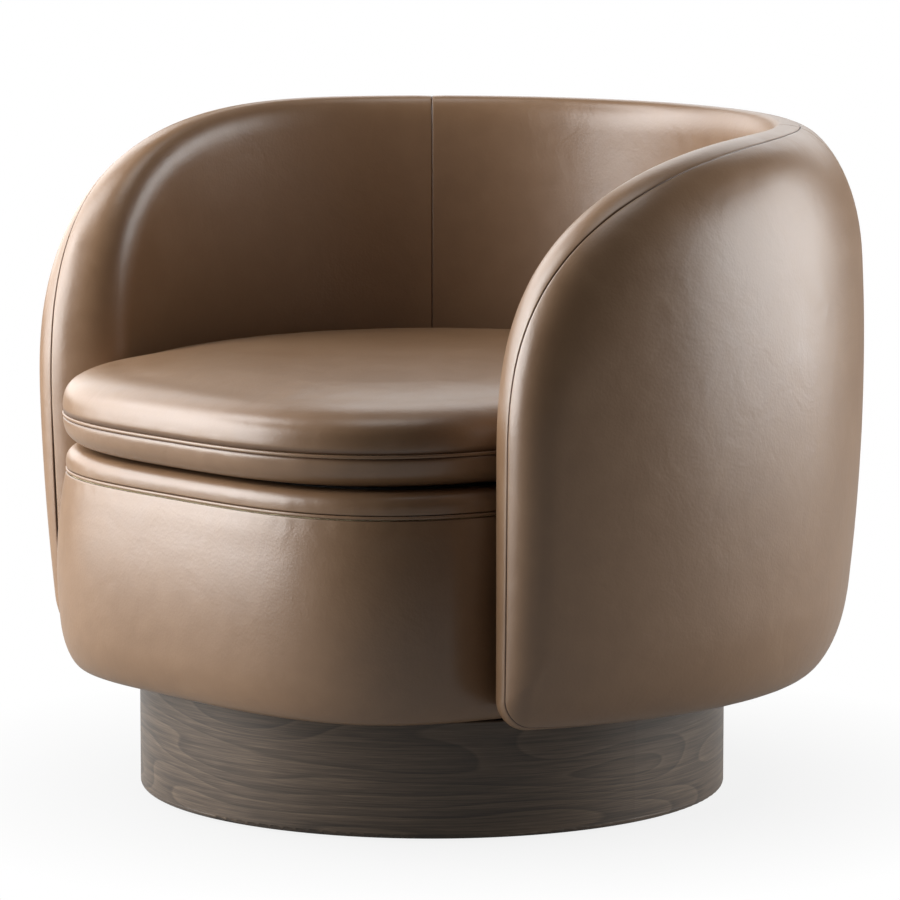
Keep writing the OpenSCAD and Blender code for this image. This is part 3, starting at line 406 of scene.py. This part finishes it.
# steps away from the upright seam, and from the padded edge's seam to the flat of the wall
SEAM_STEPS = np.array([0, 0.7, 1.4, 2.3, 3.6, 5.5, 8, 11.5, 16, 22, 30, 41, 55, 72, 90]) / 90
RING_STEPS = np.array([0, 0.004, 0.009, 0.016, 0.027, 0.045, 0.07, 0.1, 0.14, 0.19, 0.25, 0.31, 0.38, 0.45,
                       0.52, 0.59, 0.66, 0.72, 0.78, 0.84, 0.9, 0.95, 1])
# columns at which the crest and the foot pass into the arm front, and the front's parts: down
# the end of the sweep, straight, and round the foot's corner
TOP_END, FOOT_END = 8.5, 9.0
FRONT_PARTS = (15, 15, 12)
ROWS = sum(FRONT_PARTS)


def arm_columns():
    """Places along the crest and along the foot, each on past the columns into the arm front."""
    span = np.linspace(0, 1, 67)[1:]
    sweep = np.linspace(1, 0, FRONT_PARTS[0] + 1)[1:] ** 1.45
    corner = np.linspace(1, 0, FRONT_PARTS[2] + 1)[1:]
    crest = [SEAM_STEPS, 1 + span * (TOP_END - 1), COLUMNS - (COLUMNS - TOP_END) * sweep]
    foot = [SEAM_STEPS, 1 + span * (FOOT_END - 1), COLUMNS - (COLUMNS - FOOT_END) * corner]
    return len(SEAM_STEPS) + len(span), np.concatenate(crest), np.concatenate(foot)


def joined(over, under):
    """One line from the crest round the arm front to the foot, straight between the two."""
    steps = np.linspace(0, 1, FRONT_PARTS[1] + 1)[1:-1, None]
    return np.concatenate([over, over[-1] + (under[-1] - over[-1]) * steps, under[::-1]])


def edge_ring(crest, foot, t, side):
    """One ring round the edge of an arm; its straight part follows the swell of the wall."""
    over, under = edge_points(crest, t, True, side), edge_points(foot, t, False, side)
    line = joined(over, under)
    if side > 0:
        front = line[len(over) - 1 : len(line) - len(under) + 1]
        x, y, z = front[:, 0], front[:, 1] - AXIS_Y, front[:, 2]
        full = (math.hypot(x[0], y[0]) - FRONT_R) / (body_radius(z[0]) - FRONT_R)
        radius = FRONT_R + (body_radius(z) - FRONT_R) * full
        front[:] = at_angle(math.degrees(math.atan2(x[0], y[0])), radius, z)
    return line


def arm_panel(side):
    """Vertices and faces of an arm panel: rings round its edge, and a grid of cells inside them."""
    n, crest, foot = arm_columns()
    rings = np.array([edge_ring(crest, foot, t, side) for t in RING_STEPS])
    k, m = rings.shape[:2]
    d_crest, d_foot = (NOSE_CREST, NOSE_BOTTOM) if side > 0 else (NOSE_INNER, ROLL_IN)
    path = joined(np.stack(crest_line(crest, NOSE_FRONT, d_crest), -1),
                  np.stack(foot_line(foot, NOSE_FRONT, d_foot, side), -1))
    upper, lower, front = path[:n], path[: m - n - 1 : -1], path[n - 1 : n + ROWS]
    steps = np.diff(front, axis=0) * [FRONT_R * math.pi / 180, 1]
    down = np.concatenate([[0], np.cumsum(np.hypot(*steps.T))])
    down = (down / down[-1])[None, :, None]
    along = share(upper[:, 0], upper[0, 0], upper[-1, 0])[:, None, None]
    seam_side = upper[0] + (lower[0] - upper[0]) * down
    inner = ((1 - down) * upper[:, None] + down * lower[:, None]
             + (1 - along) * seam_side + along * front[None]
             - (1 - along) * ((1 - down) * upper[0] + down * lower[0])
             - along * ((1 - down) * upper[-1] + down * lower[-1]))[:-1, 1:-1].reshape(-1, 2)
    radius = body_radius(inner[:, 1]) if side > 0 else WALL_IN_R
    points = np.concatenate([rings.reshape(-1, 3), at_angle(inner[:, 0], radius, inner[:, 1])])
    ids = np.empty((n, ROWS + 1), int)
    ids[:, 0] = (k - 1) * m + np.arange(n)
    ids[:, ROWS] = (k - 1) * m + m - 1 - np.arange(n)
    ids[-1, 1:ROWS] = (k - 1) * m + n - 1 + np.arange(1, ROWS)
    ids[:-1, 1:ROWS] = k * m + np.arange((n - 1) * (ROWS - 1)).reshape(n - 1, ROWS - 1)
    return points, np.concatenate([cells(np.arange(k * m).reshape(k, m)), cells(ids)[:, ::-1]])


# the back's close steps beside an upright seam reach this far, measured at a middle radius
BACK_STEPS_M, BACK_R = 0.09, 0.4


def back_panel(side):
    """Vertices and faces of a back panel between the two upright seams."""
    near = SEAM_DEG - np.degrees(SEAM_STEPS * BACK_STEPS_M / BACK_R)
    middle = np.linspace(near[-1], 0, 13)[1:]
    right = np.concatenate([near, middle])
    degs = np.concatenate([-right, right[:-1][::-1]])
    u = np.zeros(1)
    over = [edge_points(u, t, True, side)[0] for t in RING_STEPS]
    under = [edge_points(u, t, False, side)[0] for t in RING_STEPS]
    z0, z1 = over[-1][2], under[-1][2]
    rows = [[0, 0, z0 + (z1 - z0) * t] for t in np.linspace(0, 1, ROWS + 1)[1:-1]]
    line = np.array(over + rows + under[::-1])
    radius = np.hypot(line[:, 0], line[:, 1] - AXIS_Y)
    mid = slice(len(over), len(over) + len(rows))
    radius[mid] = body_radius(line[mid, 2]) if side > 0 else WALL_IN_R
    grid = np.array([at_angle(np.full(len(line), d), radius, line[:, 2]) for d in degs])
    ids = np.arange(grid.shape[0] * grid.shape[1]).reshape(grid.shape[:2])
    return grid.reshape(-1, 3), cells(ids)


def cells(ids):
    """Four-sided faces of a grid of vertex numbers."""
    return np.stack([ids[:-1, :-1], ids[:-1, 1:], ids[1:, 1:], ids[1:, :-1]], -1).reshape(-1, 4)


def vertex_normals(points, faces):
    """Outward directions of a mesh of four-sided faces, at its points."""
    crossed = np.cross(points[faces[:, 2]] - points[faces[:, 0]], points[faces[:, 3]] - points[faces[:, 1]])
    total = np.zeros_like(points)
    for i in range(4):
        np.add.at(total, faces[:, i], crossed)
    return total / np.maximum(np.linalg.norm(total, axis=1, keepdims=True), 1e-12)


def border_edges(faces):
    """Directed edges that only one face uses."""
    edges = np.concatenate([faces[:, [i, (i + 1) % 4]] for i in range(4)])
    seen = {(a, b) for a, b in edges.tolist()}
    return [(a, b) for a, b in edges.tolist() if (b, a) not in seen]


def leather_object(name, points, faces, stands_for, body):
    """A smooth leather mesh that rides on a body in the place of a CAD node."""
    made = bpy.data.meshes.new(name)
    made.from_pydata(points.tolist(), [], faces)
    made.shade_smooth()
    made.materials.append(leather)
    piece = bpy.data.objects.new(name, made)
    bpy.context.scene.collection.objects.link(piece)
    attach(piece, body)
    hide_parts(stands_for)
    return piece


# a seam draws the leather in, by a soft shoulder and by a narrow crease at the stitches. Shade is
# painted into the sheet's colour, darkening it from the first of two depths to the second
SHOULDER_W, SHOULDER_D, CREASE_W, CREASE_D = 0.007, 0.0006, 0.0011, 0.0007
PAINTED_SHADE_DEPTHS, SHEET_THICK = (0.0004, 0.0011), 0.0015


def sink(distance):
    """Depth of the leather below its face, at a distance from a seam."""
    shoulder = SHOULDER_D * np.clip(1 - distance / SHOULDER_W, 0, 1) ** 2
    return shoulder + CREASE_D * np.clip(1 - distance / CREASE_W, 0, 1) ** 1.3


def leather_sheet(name, points, faces, crease, slack, stands_for, body):
    """A closed sheet of leather whose face sinks into its seams, and lies slack between them, with shade
    painted into its colour along the creases.
    """
    normals = vertex_normals(points, faces)
    outside = points - normals * (crease + slack)[:, None]
    inside = outside - normals * SHEET_THICK
    count = len(points)
    rim = [[b, a, a + count, b + count] for a, b in border_edges(faces)]
    piece = leather_object(name, np.concatenate([outside, inside]),
                           faces.tolist() + (faces[:, ::-1] + count).tolist() + rim, stands_for, body)
    # painted shade of the creases, kept on the points as the attribute seam
    shade = piece.data.attributes.new("seam", "FLOAT", "POINT")
    shade.data.foreach_set("value", np.tile(share(crease, *PAINTED_SHADE_DEPTHS), 2))
    return piece


def unevenness(points, size, seed):
    """Smooth noise from 0 to 1, with hollows of a size."""
    offset = Vector((seed, 2 * seed, -seed))
    return np.array([0.5 + 0.5 * noise.noise(Vector(p) / size + offset) for p in points.tolist()])


def waves(points, distance, size, depth, flat, full, seed):
    """Low waves of the padding: none where it is flat near a seam, and full further away."""
    return unevenness(points, size, seed) * depth * ease(distance, flat, full)


def puckers(points, distance, size, depth, away, width, seed):
    """Small gathers of the leather along a seam, deepest a little away from it."""
    return unevenness(points, size, seed) * depth * np.exp(-(((distance - away) / width) ** 2))


def wall_piece(name, shape, side, stands_for, mirrored=False):
    """One panel of the wall: side is 1 for the outer face and -1 for the inner one."""
    points, faces = shape(side)
    radial = points - np.array([0, AXIS_Y, 0])
    if np.sum(vertex_normals(points, faces)[:, :2] * radial[:, :2]) * side < 0:
        faces = faces[:, ::-1]
    deg = np.degrees(np.arctan2(radial[:, 0], radial[:, 1]))
    to_upright = np.radians(np.abs(np.abs(deg) - SEAM_DEG)) * np.hypot(radial[:, 0], radial[:, 1])
    # the border without the upright seams, where two panels meet flat
    edge = np.array(sorted({i for pair in border_edges(faces) for i in pair}))
    round_edge = edge[np.abs(np.abs(deg[edge]) - SEAM_DEG) > 0.05]
    to_crest = nearest(points, points[round_edge])
    near = np.minimum(to_upright, to_crest)
    slack = waves(points, near, size=0.13, depth=0.001, flat=0.003, full=0.07,
                  seed=3.7 if side > 0 else 9.1)
    slack += puckers(points, near, size=0.018, depth=0.0006, away=0.006, width=0.006, seed=5.3)
    crease = np.maximum(sink(to_crest), sink(to_upright))
    if mirrored:
        points = points * np.array([-1, 1, 1])
        faces = faces[:, ::-1]
    leather_sheet(name, points, faces, crease, slack, stands_for, "seat")


def lookup(points):
    """The points, sorted so that those near a place are found fast."""
    tree = KDTree(len(points))
    for i, p in enumerate(points.tolist()):
        tree.insert(p, i)
    tree.balance()
    return tree


def nearest(points, others):
    """Distance from each point to the nearest of the others."""
    tree = lookup(others)
    return np.array([tree.find(p)[2] for p in points.tolist()])


wall_piece("inner_back_leather", back_panel, -1, "back_inner_cover")
wall_piece("inner_arm_leather_right", arm_panel, -1, "arm_inner_cover_right")
wall_piece("inner_arm_leather_left", arm_panel, -1, "arm_inner_cover_left", mirrored=True)
wall_piece("outer_back_leather", back_panel, 1, "back_outer_cover")
wall_piece("outer_side_leather_right", arm_panel, 1, "side_outer_cover_right")
wall_piece("outer_side_leather_left", arm_panel, 1, "side_outer_cover_left", mirrored=True)


# Seat drum: one leather panel drawn round the front between the arms and turned under the
# base board, closed at the top by a narrow band that rolls over onto the deck. The two are
# joined by a flat strip with a row of stitches sunk along each side.
DRUM_FRONT = from_frame(AXIS_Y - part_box("drum_top_band")[0].y)
DRUM_SEAM_Z = from_frame(sum(corner.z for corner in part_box("drum_seam_strip")) / 2)
DECK_Z = from_frame(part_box("drum_top_band")[1].z)
# the seat's plan is round behind, as wide as the cushion
SEAT_BACK_R = from_frame(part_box("cushion_top_cover")[1].x)
DRUM_POWER, DRUM_BULGE, SEAT_HALF_W, STRIP_W = 3.5, 0.010, 0.295, 0.004
FOOT_ROLL, FOOT_TUCK, FOOT_POWER = 0.048, 0.0165, 2.2
# the drum's panel ends this far round behind the arms, where its bulge has faded out, and laps
# this far in under the board
DRUM_TIP_DEG, FADE_DEG, LAP_IN = 65, 14, 0.038
# the top band rolls in and up over its padding, and ends on the deck
BAND_ROLL, BAND_RISE, BAND_END = 0.014, 0.015, 0.0335
# the leather's close rows beside the seam, measured from the seam's middle
SEAM_ROWS = np.array([0.0022, 0.0027, 0.0034, 0.0044, 0.0058, 0.0075, 0.0095])


def outline(psi, front, power):
    """Radius of the seat's plan at an angle from the front: squarish in front, round behind."""
    aside, ahead = np.abs(np.sin(psi)) / SEAT_HALF_W, np.abs(np.cos(psi)) / front
    squarish = (aside**power + ahead**power) ** (-1 / power)
    return np.where(np.cos(psi) < 0.35, SEAT_BACK_R, np.maximum(SEAT_BACK_R, squarish))


def soft_outline(psi, front, power):
    """The same plan with its two joints eased, as padding does."""
    steps = np.radians(np.linspace(-5, 5, 11))
    return np.mean([outline(psi + d, front, power) for d in steps], axis=0)


def swept(psis, profile, front, power):
    """Columns of points: a profile of offset and height, carried round the plan."""
    radius = soft_outline(psis, front, power)[:, None] + profile[..., 0]
    x, y = radius * np.sin(psis)[:, None], AXIS_Y - radius * np.cos(psis)[:, None]
    return np.stack([x, y, np.broadcast_to(profile[..., 1], x.shape)], -1)


def drum_profile(psi_deg):
    """Upright lines of the drum's panel: offset from the plan, and height. The bulge fades out
    towards the arms, and the lap lies under the base board."""
    taper = np.clip((DRUM_TIP_DEG - np.abs(psi_deg)) / FADE_DEG, 0, 1)[:, None]
    lap = np.stack([np.linspace(-LAP_IN, -FOOT_TUCK, 7), np.full(7, SKIRT_Z)], -1)[:-1]
    z = np.concatenate([SKIRT_Z + FOOT_ROLL * np.linspace(0, 1, 24) ** 2,
                        np.linspace(SKIRT_Z + FOOT_ROLL, DRUM_SEAM_Z - 0.012, 36)[1:],
                        DRUM_SEAM_Z - SEAM_ROWS[::-1]])
    middle, half = (SKIRT_Z + DRUM_SEAM_Z) / 2, (DRUM_SEAM_Z - SKIRT_Z) / 2
    left = 1 - share(z, SKIRT_Z, SKIRT_Z + FOOT_ROLL)
    tuck = FOOT_TUCK * (1 - (1 - left**FOOT_POWER).clip(0) ** (1 / FOOT_POWER))
    line = np.concatenate([lap, np.stack([DRUM_BULGE * (1 - ((z - middle) / half) ** 2) - tuck, z], -1)])
    lines = np.repeat(line[None], len(psi_deg), 0)
    lines[..., 0] = np.minimum(lines[..., 0], lines[..., 0] * taper)
    return lines


def drum_piece(name, profile, psi_deg, stands_for, seed):
    """One sheet of the drum, carried round the front and sunk into the drum's seam."""
    grid = swept(np.radians(psi_deg), profile, DRUM_FRONT, DRUM_POWER)
    points = grid.reshape(-1, 3)
    faces = cells(np.arange(len(points)).reshape(grid.shape[:2]))
    to_seam = np.abs(points[:, 2] - DRUM_SEAM_Z)
    slack = waves(points, to_seam, size=0.11, depth=0.0012, flat=0.004, full=0.04, seed=seed)
    slack += puckers(points * np.array([1, 1, 0.35]), to_seam, size=0.014, depth=0.0008, away=0.008,
                     width=0.007, seed=2.2)
    if np.sum(vertex_normals(points, faces)[:, :2] * points[:, :2]) < 0:
        faces = faces[:, ::-1]
    return leather_sheet(name, points, faces, sink(to_seam - STRIP_W / 2), slack, stands_for, "seat")


psi_deg = np.linspace(-DRUM_TIP_DEG, DRUM_TIP_DEG, 241)
drum = drum_piece("drum_leather", drum_profile(psi_deg), psi_deg, "drum_cover", 6.1)
# the band rises from the seam, rolls over and lies on the deck
turn = np.radians(np.linspace(0, 90, 16))
band_line = np.concatenate([
    np.stack([np.zeros(6), DRUM_SEAM_Z + SEAM_ROWS[:6]], -1),
    np.stack([-BAND_ROLL * (1 - np.cos(turn)), DECK_Z - BAND_RISE * (1 - np.sin(turn))], -1)[1:],
    np.stack([np.linspace(-BAND_ROLL, -BAND_END, 8)[1:], np.full(7, DECK_Z)], -1)])
band_lines = np.repeat(band_line[None], len(psi_deg), 0)
band = drum_piece("drum_top_band_leather", band_lines, psi_deg, "drum_top_band", 8.4)


def strip_piece(name, psis, front, power, seam_z, stands_for, body, closed=False):
    """The flat strip between two rows of stitches, slightly crowned."""
    high = STRIP_W / 2 - 0.0003
    across = np.array([[-0.0022, -high], [-0.0011, -high], [-0.0003, -high + 0.0004], [0, -0.0006],
                       [0, 0.0006], [-0.0003, high - 0.0004], [-0.0011, high], [-0.0022, high]])
    profile = np.repeat((across + [0, seam_z])[None], len(psis), 0)
    grid = swept(psis, profile, front, power)
    count, wide = grid.shape[:2]
    ids = np.arange(count * wide).reshape(count, wide)
    ids = np.concatenate([ids, ids[:, :1]], 1)
    faces = cells(np.concatenate([ids, ids[:1]]) if closed else ids).tolist()
    if not closed:
        faces += [ids[0, :-1].tolist()[::-1], ids[-1, :-1].tolist()]
    piece = leather_object(name, grid.reshape(-1, 3), faces, stands_for, body)
    bpy.ops.object.select_all(action="DESELECT")
    piece.select_set(True)
    bpy.context.view_layer.objects.active = piece
    bpy.ops.object.mode_set(mode="EDIT")
    bpy.ops.mesh.select_all(action="SELECT")
    bpy.ops.mesh.normals_make_consistent(inside=False)
    bpy.ops.object.mode_set(mode="OBJECT")


strip_piece("drum_seam_strip_leather", np.radians(psi_deg), DRUM_FRONT, DRUM_POWER, DRUM_SEAM_Z,
            "drum_seam_strip", "seat")


# Loose seat cushion: a boxed pad of foam in fibre wadding, covered in two leather panels that a
# flat strip joins all round, between two sunk rows of stitches. The top is crowned and rolls
# over; the underside lies flat. The cover is blown up as cloth, as the filling swells it.
CUSHION_FRONT = from_frame(AXIS_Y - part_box("cushion_top_cover")[0].y)
CUSHION_SEAM_Z = from_frame(sum(corner.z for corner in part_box("cushion_seam_strip")) / 2)
CUSHION_LOW_H = from_frame(CUSHION_SEAM_Z - STRIP_W / 2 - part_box("cushion_bottom_cover")[0].z)
CUSHION_TOP_H, CUSHION_POWER, STRIP_COLUMNS = 0.049, 3.15, 320
# each panel rolls over from this share of its plan out to the seam; the top is crowned as well
TOP_ROLL, TOP_POWER, LOW_ROLL, LOW_POWER, CROWN = 0.70, 3.3, 0.87, 2.5, 0.06
# the cloth starts this far inside the cover, and swells no further than the cap
CLOTH_INSET, CLOTH_CAP = 0.006, 0.010
CLOTH_CELL, CLOTH_PRESSURE, CLOTH_FRAMES = 0.007, 4, 20


def disc_grid(count, edge_share):
    """A square grid spread over a disc without a pole: share of the radius and angle."""
    s, t = np.meshgrid(np.linspace(-1, 1, count), np.linspace(-1, 1, count), indexing="ij")
    rho = np.maximum(np.abs(s), np.abs(t))
    safe = np.where(rho == 0, 1, rho)
    wide = np.abs(s) >= np.abs(t)
    turn = np.where(wide, (math.pi / 4) * t / safe, math.pi / 2 - (math.pi / 4) * s / safe)
    turn = np.where(wide & (s < 0), math.pi - (math.pi / 4) * t / safe, turn)
    turn = np.where(~wide & (t < 0), -math.pi / 2 + (math.pi / 4) * s / safe, turn)
    return rho * edge_share, turn


def cushion_surface(rho, psi, upper, height):
    """Points of the top or bottom of the cushion."""
    radius = soft_outline(psi, CUSHION_FRONT, CUSHION_POWER) * rho
    if upper:
        roll = share(rho, TOP_ROLL, 1.0)
        edge = (1 - roll**TOP_POWER).clip(0) ** (1 / TOP_POWER)
        z = CUSHION_SEAM_Z + STRIP_W / 2 + height * ((1 - CROWN) * edge + CROWN * (1 - rho**2))
    else:
        roll = share(rho, LOW_ROLL, 1.0)
        z = CUSHION_SEAM_Z - STRIP_W / 2 - height * (1 - roll**LOW_POWER).clip(0) ** (1 / LOW_POWER)
    return np.stack([radius * np.sin(psi), AXIS_Y - radius * np.cos(psi), z], -1)


def cushion_half(upper, count=81, edge_share=0.86):
    """Vertices, faces and seam ring of one panel, all in four-sided cells that face outwards."""
    height = CUSHION_TOP_H if upper else CUSHION_LOW_H
    rho, turn = disc_grid(count, edge_share)
    inner = cushion_surface(rho, turn, upper, height).reshape(-1, 3)
    ids = np.arange(count * count).reshape(count, count)
    loop = np.concatenate([ids[:-1, 0], ids[-1, :-1], ids[:0:-1, -1], ids[0, :0:-1]])
    around = turn.reshape(-1)[loop]
    shares = 1 - (1 - edge_share) * np.linspace(1, 0, 27)[1:] ** 2.2
    rings = [cushion_surface(np.full(len(loop), r), around, upper, height) for r in shares]
    ring_ids = np.array([loop] + [len(inner) + k * len(loop) + np.arange(len(loop))
                                  for k in range(len(rings))])
    closed = np.concatenate([ring_ids, ring_ids[:, :1]], 1)
    points, faces = np.concatenate([inner] + rings), np.concatenate([cells(ids), cells(closed)])
    if (np.sum(vertex_normals(points, faces)[:, 2]) < 0) == upper:
        faces = faces[:, ::-1]
    return points, faces, ring_ids[-1]


def swelling(halves):
    """How far the closed cover moves when it is blown up as cloth. Its seam and underside are held
    fast, and the rest lightly, as by the filling."""
    start = bpy.data.meshes.new("cushion_cloth")
    shrunk, polygons, base = [], [], 0
    for points, faces, ring in halves:
        inset = CLOTH_INSET * share(nearest(points, points[ring]), 0.004, 0.04)
        shrunk.append(points - vertex_normals(points, faces) * inset[:, None])
        polygons += (faces + base).tolist()
        base += len(points)
    upper, lower = halves[0][2].tolist(), (halves[1][2] + len(halves[0][0])).tolist()
    polygons += [[upper[i - 1], upper[i], lower[i], lower[i - 1]] for i in range(len(upper))]
    start.from_pydata(np.concatenate(shrunk).tolist(), [], polygons)
    shell = bpy.data.objects.new("cushion_cloth", start)
    bpy.context.scene.collection.objects.link(shell)
    remesh = shell.modifiers.new("voxels", "REMESH")
    remesh.mode, remesh.voxel_size = "VOXEL", CLOTH_CELL
    even = bpy.data.meshes.new_from_object(shell.evaluated_get(bpy.context.evaluated_depsgraph_get()))
    shell.modifiers.clear()
    shell.data = even
    rest = np.array([v.co for v in even.vertices])
    held = shell.vertex_groups.new(name="held")
    reach = np.hypot(rest[:, 0], rest[:, 1] - AXIS_Y)
    outer = soft_outline(np.arctan2(rest[:, 0], AXIS_Y - rest[:, 1]), CUSHION_FRONT, CUSHION_POWER)
    seam = (np.abs(rest[:, 2] - CUSHION_SEAM_Z) < 0.005) & (outer - reach < 0.006)
    under = rest[:, 2] < rest[:, 2].min() + 0.003
    held.add(np.nonzero(~(seam | under))[0].tolist(), 0.1, "REPLACE")
    held.add(np.nonzero(seam | under)[0].tolist(), 1.0, "REPLACE")
    cloth = shell.modifiers.new("cover", "CLOTH")
    cloth.settings.use_pressure = True
    cloth.settings.uniform_pressure_force = CLOTH_PRESSURE
    cloth.settings.pin_stiffness = 1.0
    cloth.settings.vertex_group_mass = "held"
    cloth.settings.effector_weights.gravity = 0
    for number in range(1, CLOTH_FRAMES + 1):
        bpy.context.scene.frame_set(number)
    blown = shell.evaluated_get(bpy.context.evaluated_depsgraph_get()).to_mesh()
    moved = np.array([v.co for v in blown.vertices]) - rest
    bpy.data.objects.remove(shell)
    bpy.context.scene.frame_set(1)
    return rest, moved


halves = [cushion_half(True), cushion_half(False)]
blown_rest, blown_move = swelling(halves)


def blown_up(points, faces, to_seam):
    """The cover's points moved out or in by the simulated swelling, capped and held at the seam."""
    tree = lookup(blown_rest)
    normals = vertex_normals(points, faces)
    swell = []
    for p, n in zip(points.tolist(), normals):
        near = tree.find_n(p, 5)  # place, number and distance of each
        weights = np.array([1 / (0.002 + d) for _, _, d in near])
        swell.append(sum(w * (blown_move[i] @ n) for w, (_, i, _) in zip(weights, near)) / weights.sum())
    fade = share(to_seam, 0.004, 0.04)
    offset = np.clip(np.minimum(swell, CLOTH_CAP) - CLOTH_INSET, -0.0012, 0.004) * fade
    return points + normals * offset[:, None]


def cushion_piece(name, half, stands_for, seed):
    """One panel of the cushion's cover; its stitched edge sinks less than the wall's seams do."""
    points, faces, ring = half
    to_seam = nearest(points, points[ring])
    if blown_rest is not None:
        points = blown_up(points, faces, to_seam)
    slack = waves(points, to_seam, size=0.15, depth=0.0014, flat=0.005, full=0.07, seed=seed)
    slack += puckers(points, to_seam, size=0.016, depth=0.0008, away=0.009, width=0.007, seed=1.9)
    crease = sink(to_seam) * 0.75
    leather_sheet(name, points, faces, crease, slack, stands_for, "cushion")


cushion_piece("cushion_top_leather", halves[0], "cushion_top_cover", 4.4)
cushion_piece("cushion_bottom_leather", halves[1], "cushion_bottom_cover", 2.8)
strip_piece("cushion_seam_strip_leather", np.linspace(-math.pi, math.pi, STRIP_COLUMNS + 1)[:-1],
            CUSHION_FRONT, CUSHION_POWER, CUSHION_SEAM_Z, "cushion_seam_strip", "cushion", closed=True)


# Studio: a pale floor and white surroundings, with wide soft lamps on both sides and behind,
# a weak one overhead and none in front. None of it belongs to the chair.
def background_rays(tree, shiny_share):
    """1 for what the camera sees or sees through glass, a share for reflections, 0 for light."""
    seen = add(tree, "LightPath")
    shiny = add(tree, "Math", {"operation": "MULTIPLY"}, [(0, seen.outputs["Is Glossy Ray"])])
    shiny.inputs[1].default_value = shiny_share
    either = add(tree, "Math", {"operation": "MAXIMUM"},
                 [(0, seen.outputs["Is Camera Ray"]), (1, seen.outputs["Is Transmission Ray"])])
    return add(tree, "Math", {"operation": "MAXIMUM"}, [(0, either.outputs[0]), (1, shiny.outputs[0])])


bpy.ops.object.select_all(action="DESELECT")
bpy.ops.mesh.primitive_plane_add(size=40, location=(0, 0, 0))
floor = bpy.context.object
floor.name = "studio_floor"
pale, tree, shader, place = new_material("pale_floor", Base_Color=colour("#8A8987"), Roughness=0.9)
paper = add(tree, "Emission", Color=(1, 1, 1, 1), Strength=1.0)
# near the plinth the floor keeps more of its own shade, and with it the chair's shadow
reach = add(tree, "VectorMath", {"operation": "LENGTH"}, [(0, place)])
far = add(tree, "ValToRGB", links=[(0, reach.outputs["Value"])], stops=[(0.3, 0.86), (0.62, 1.0)])
whiter = add(tree, "Math", {"operation": "MULTIPLY"},
             [(0, background_rays(tree, shiny_share=0.2).outputs[0]), (1, far.outputs[0])])
white = add(tree, "MixShader",
            links=[(0, whiter.outputs[0]), (1, shader.outputs[0]), (2, paper.outputs[0])])
tree.links.new(white.outputs[0], tree.nodes["Material Output"].inputs["Surface"])
floor.data.materials.append(pale)

surround = bpy.data.worlds.new("white_surround")
bpy.context.scene.world = surround
surround.use_nodes = True
tree = surround.node_tree
# white to look at, and nearly no light on the chair
level = add(tree, "Mix", {"data_type": "FLOAT"},
            [(0, background_rays(tree, shiny_share=0.05).outputs[0])])
level.inputs[2].default_value = 0.01
level.inputs[3].default_value = 1.0
backdrop = tree.nodes["Background"]
backdrop.inputs["Color"].default_value = (1, 1, 1, 1)
tree.links.new(level.outputs[0], backdrop.inputs["Strength"])


# the camera stands this far round to the right of the chair's front
VIEW_TURN, VIEW_AWAY = math.radians(48), 5.31
LAMP_AWAY, LAMPS_AIM_AT = 2.3, Vector((0, 0, 0.4))


def soft_lamp(name, turn_deg, rise_deg, width, height, watts):
    """A softbox that faces the chair, turned from the camera's side to the right of the picture."""
    turn, rise = math.radians(turn_deg), math.radians(rise_deg)
    heading = VIEW_TURN + turn - math.pi / 2
    aim = Vector((math.cos(rise) * math.cos(heading), math.cos(rise) * math.sin(heading), math.sin(rise)))
    bpy.ops.object.light_add(type="AREA", location=LAMPS_AIM_AT + aim * LAMP_AWAY)
    lamp = bpy.context.object
    lamp.name = name
    lamp.data.shape = "RECTANGLE"
    lamp.data.size = width
    lamp.data.size_y = height
    lamp.data.energy = watts
    lamp.rotation_euler = (-aim).to_track_quat("-Z", "Y").to_euler()


# turn and rise in degrees, width and height in metres, and watts
soft_lamp("left_softbox", -77, 13, 1.3, 1.5, 49)
soft_lamp("left_side_softbox", -101, 12, 1.1, 1.6, 28)
soft_lamp("left_high_softbox", -100, 42, 0.9, 1.2, 25)
soft_lamp("left_rear_softbox", -138, 22, 1.8, 1.6, 28)
soft_lamp("right_softbox", 94, 12, 2.2, 1.6, 60)
soft_lamp("rear_softbox", 164, 32, 1.8, 1.6, 18)
soft_lamp("top_softbox", 0, 84, 1.0, 1.0, 8)

# a long lens, slightly above the seat and tilted a little down
camera = bpy.data.objects.new("photo_camera", bpy.data.cameras.new("photo_camera"))
bpy.context.scene.collection.objects.link(camera)
camera.data.sensor_width = 36
camera.data.lens = 213.28
camera.data.shift_x = 0.01994
camera.location = (VIEW_AWAY * math.sin(VIEW_TURN), AXIS_Y - VIEW_AWAY * math.cos(VIEW_TURN), 1.089)
camera.rotation_euler = (math.radians(81.96), 0, VIEW_TURN)
bpy.context.scene.camera = camera
bpy.context.scene.view_settings.view_transform = "Standard"
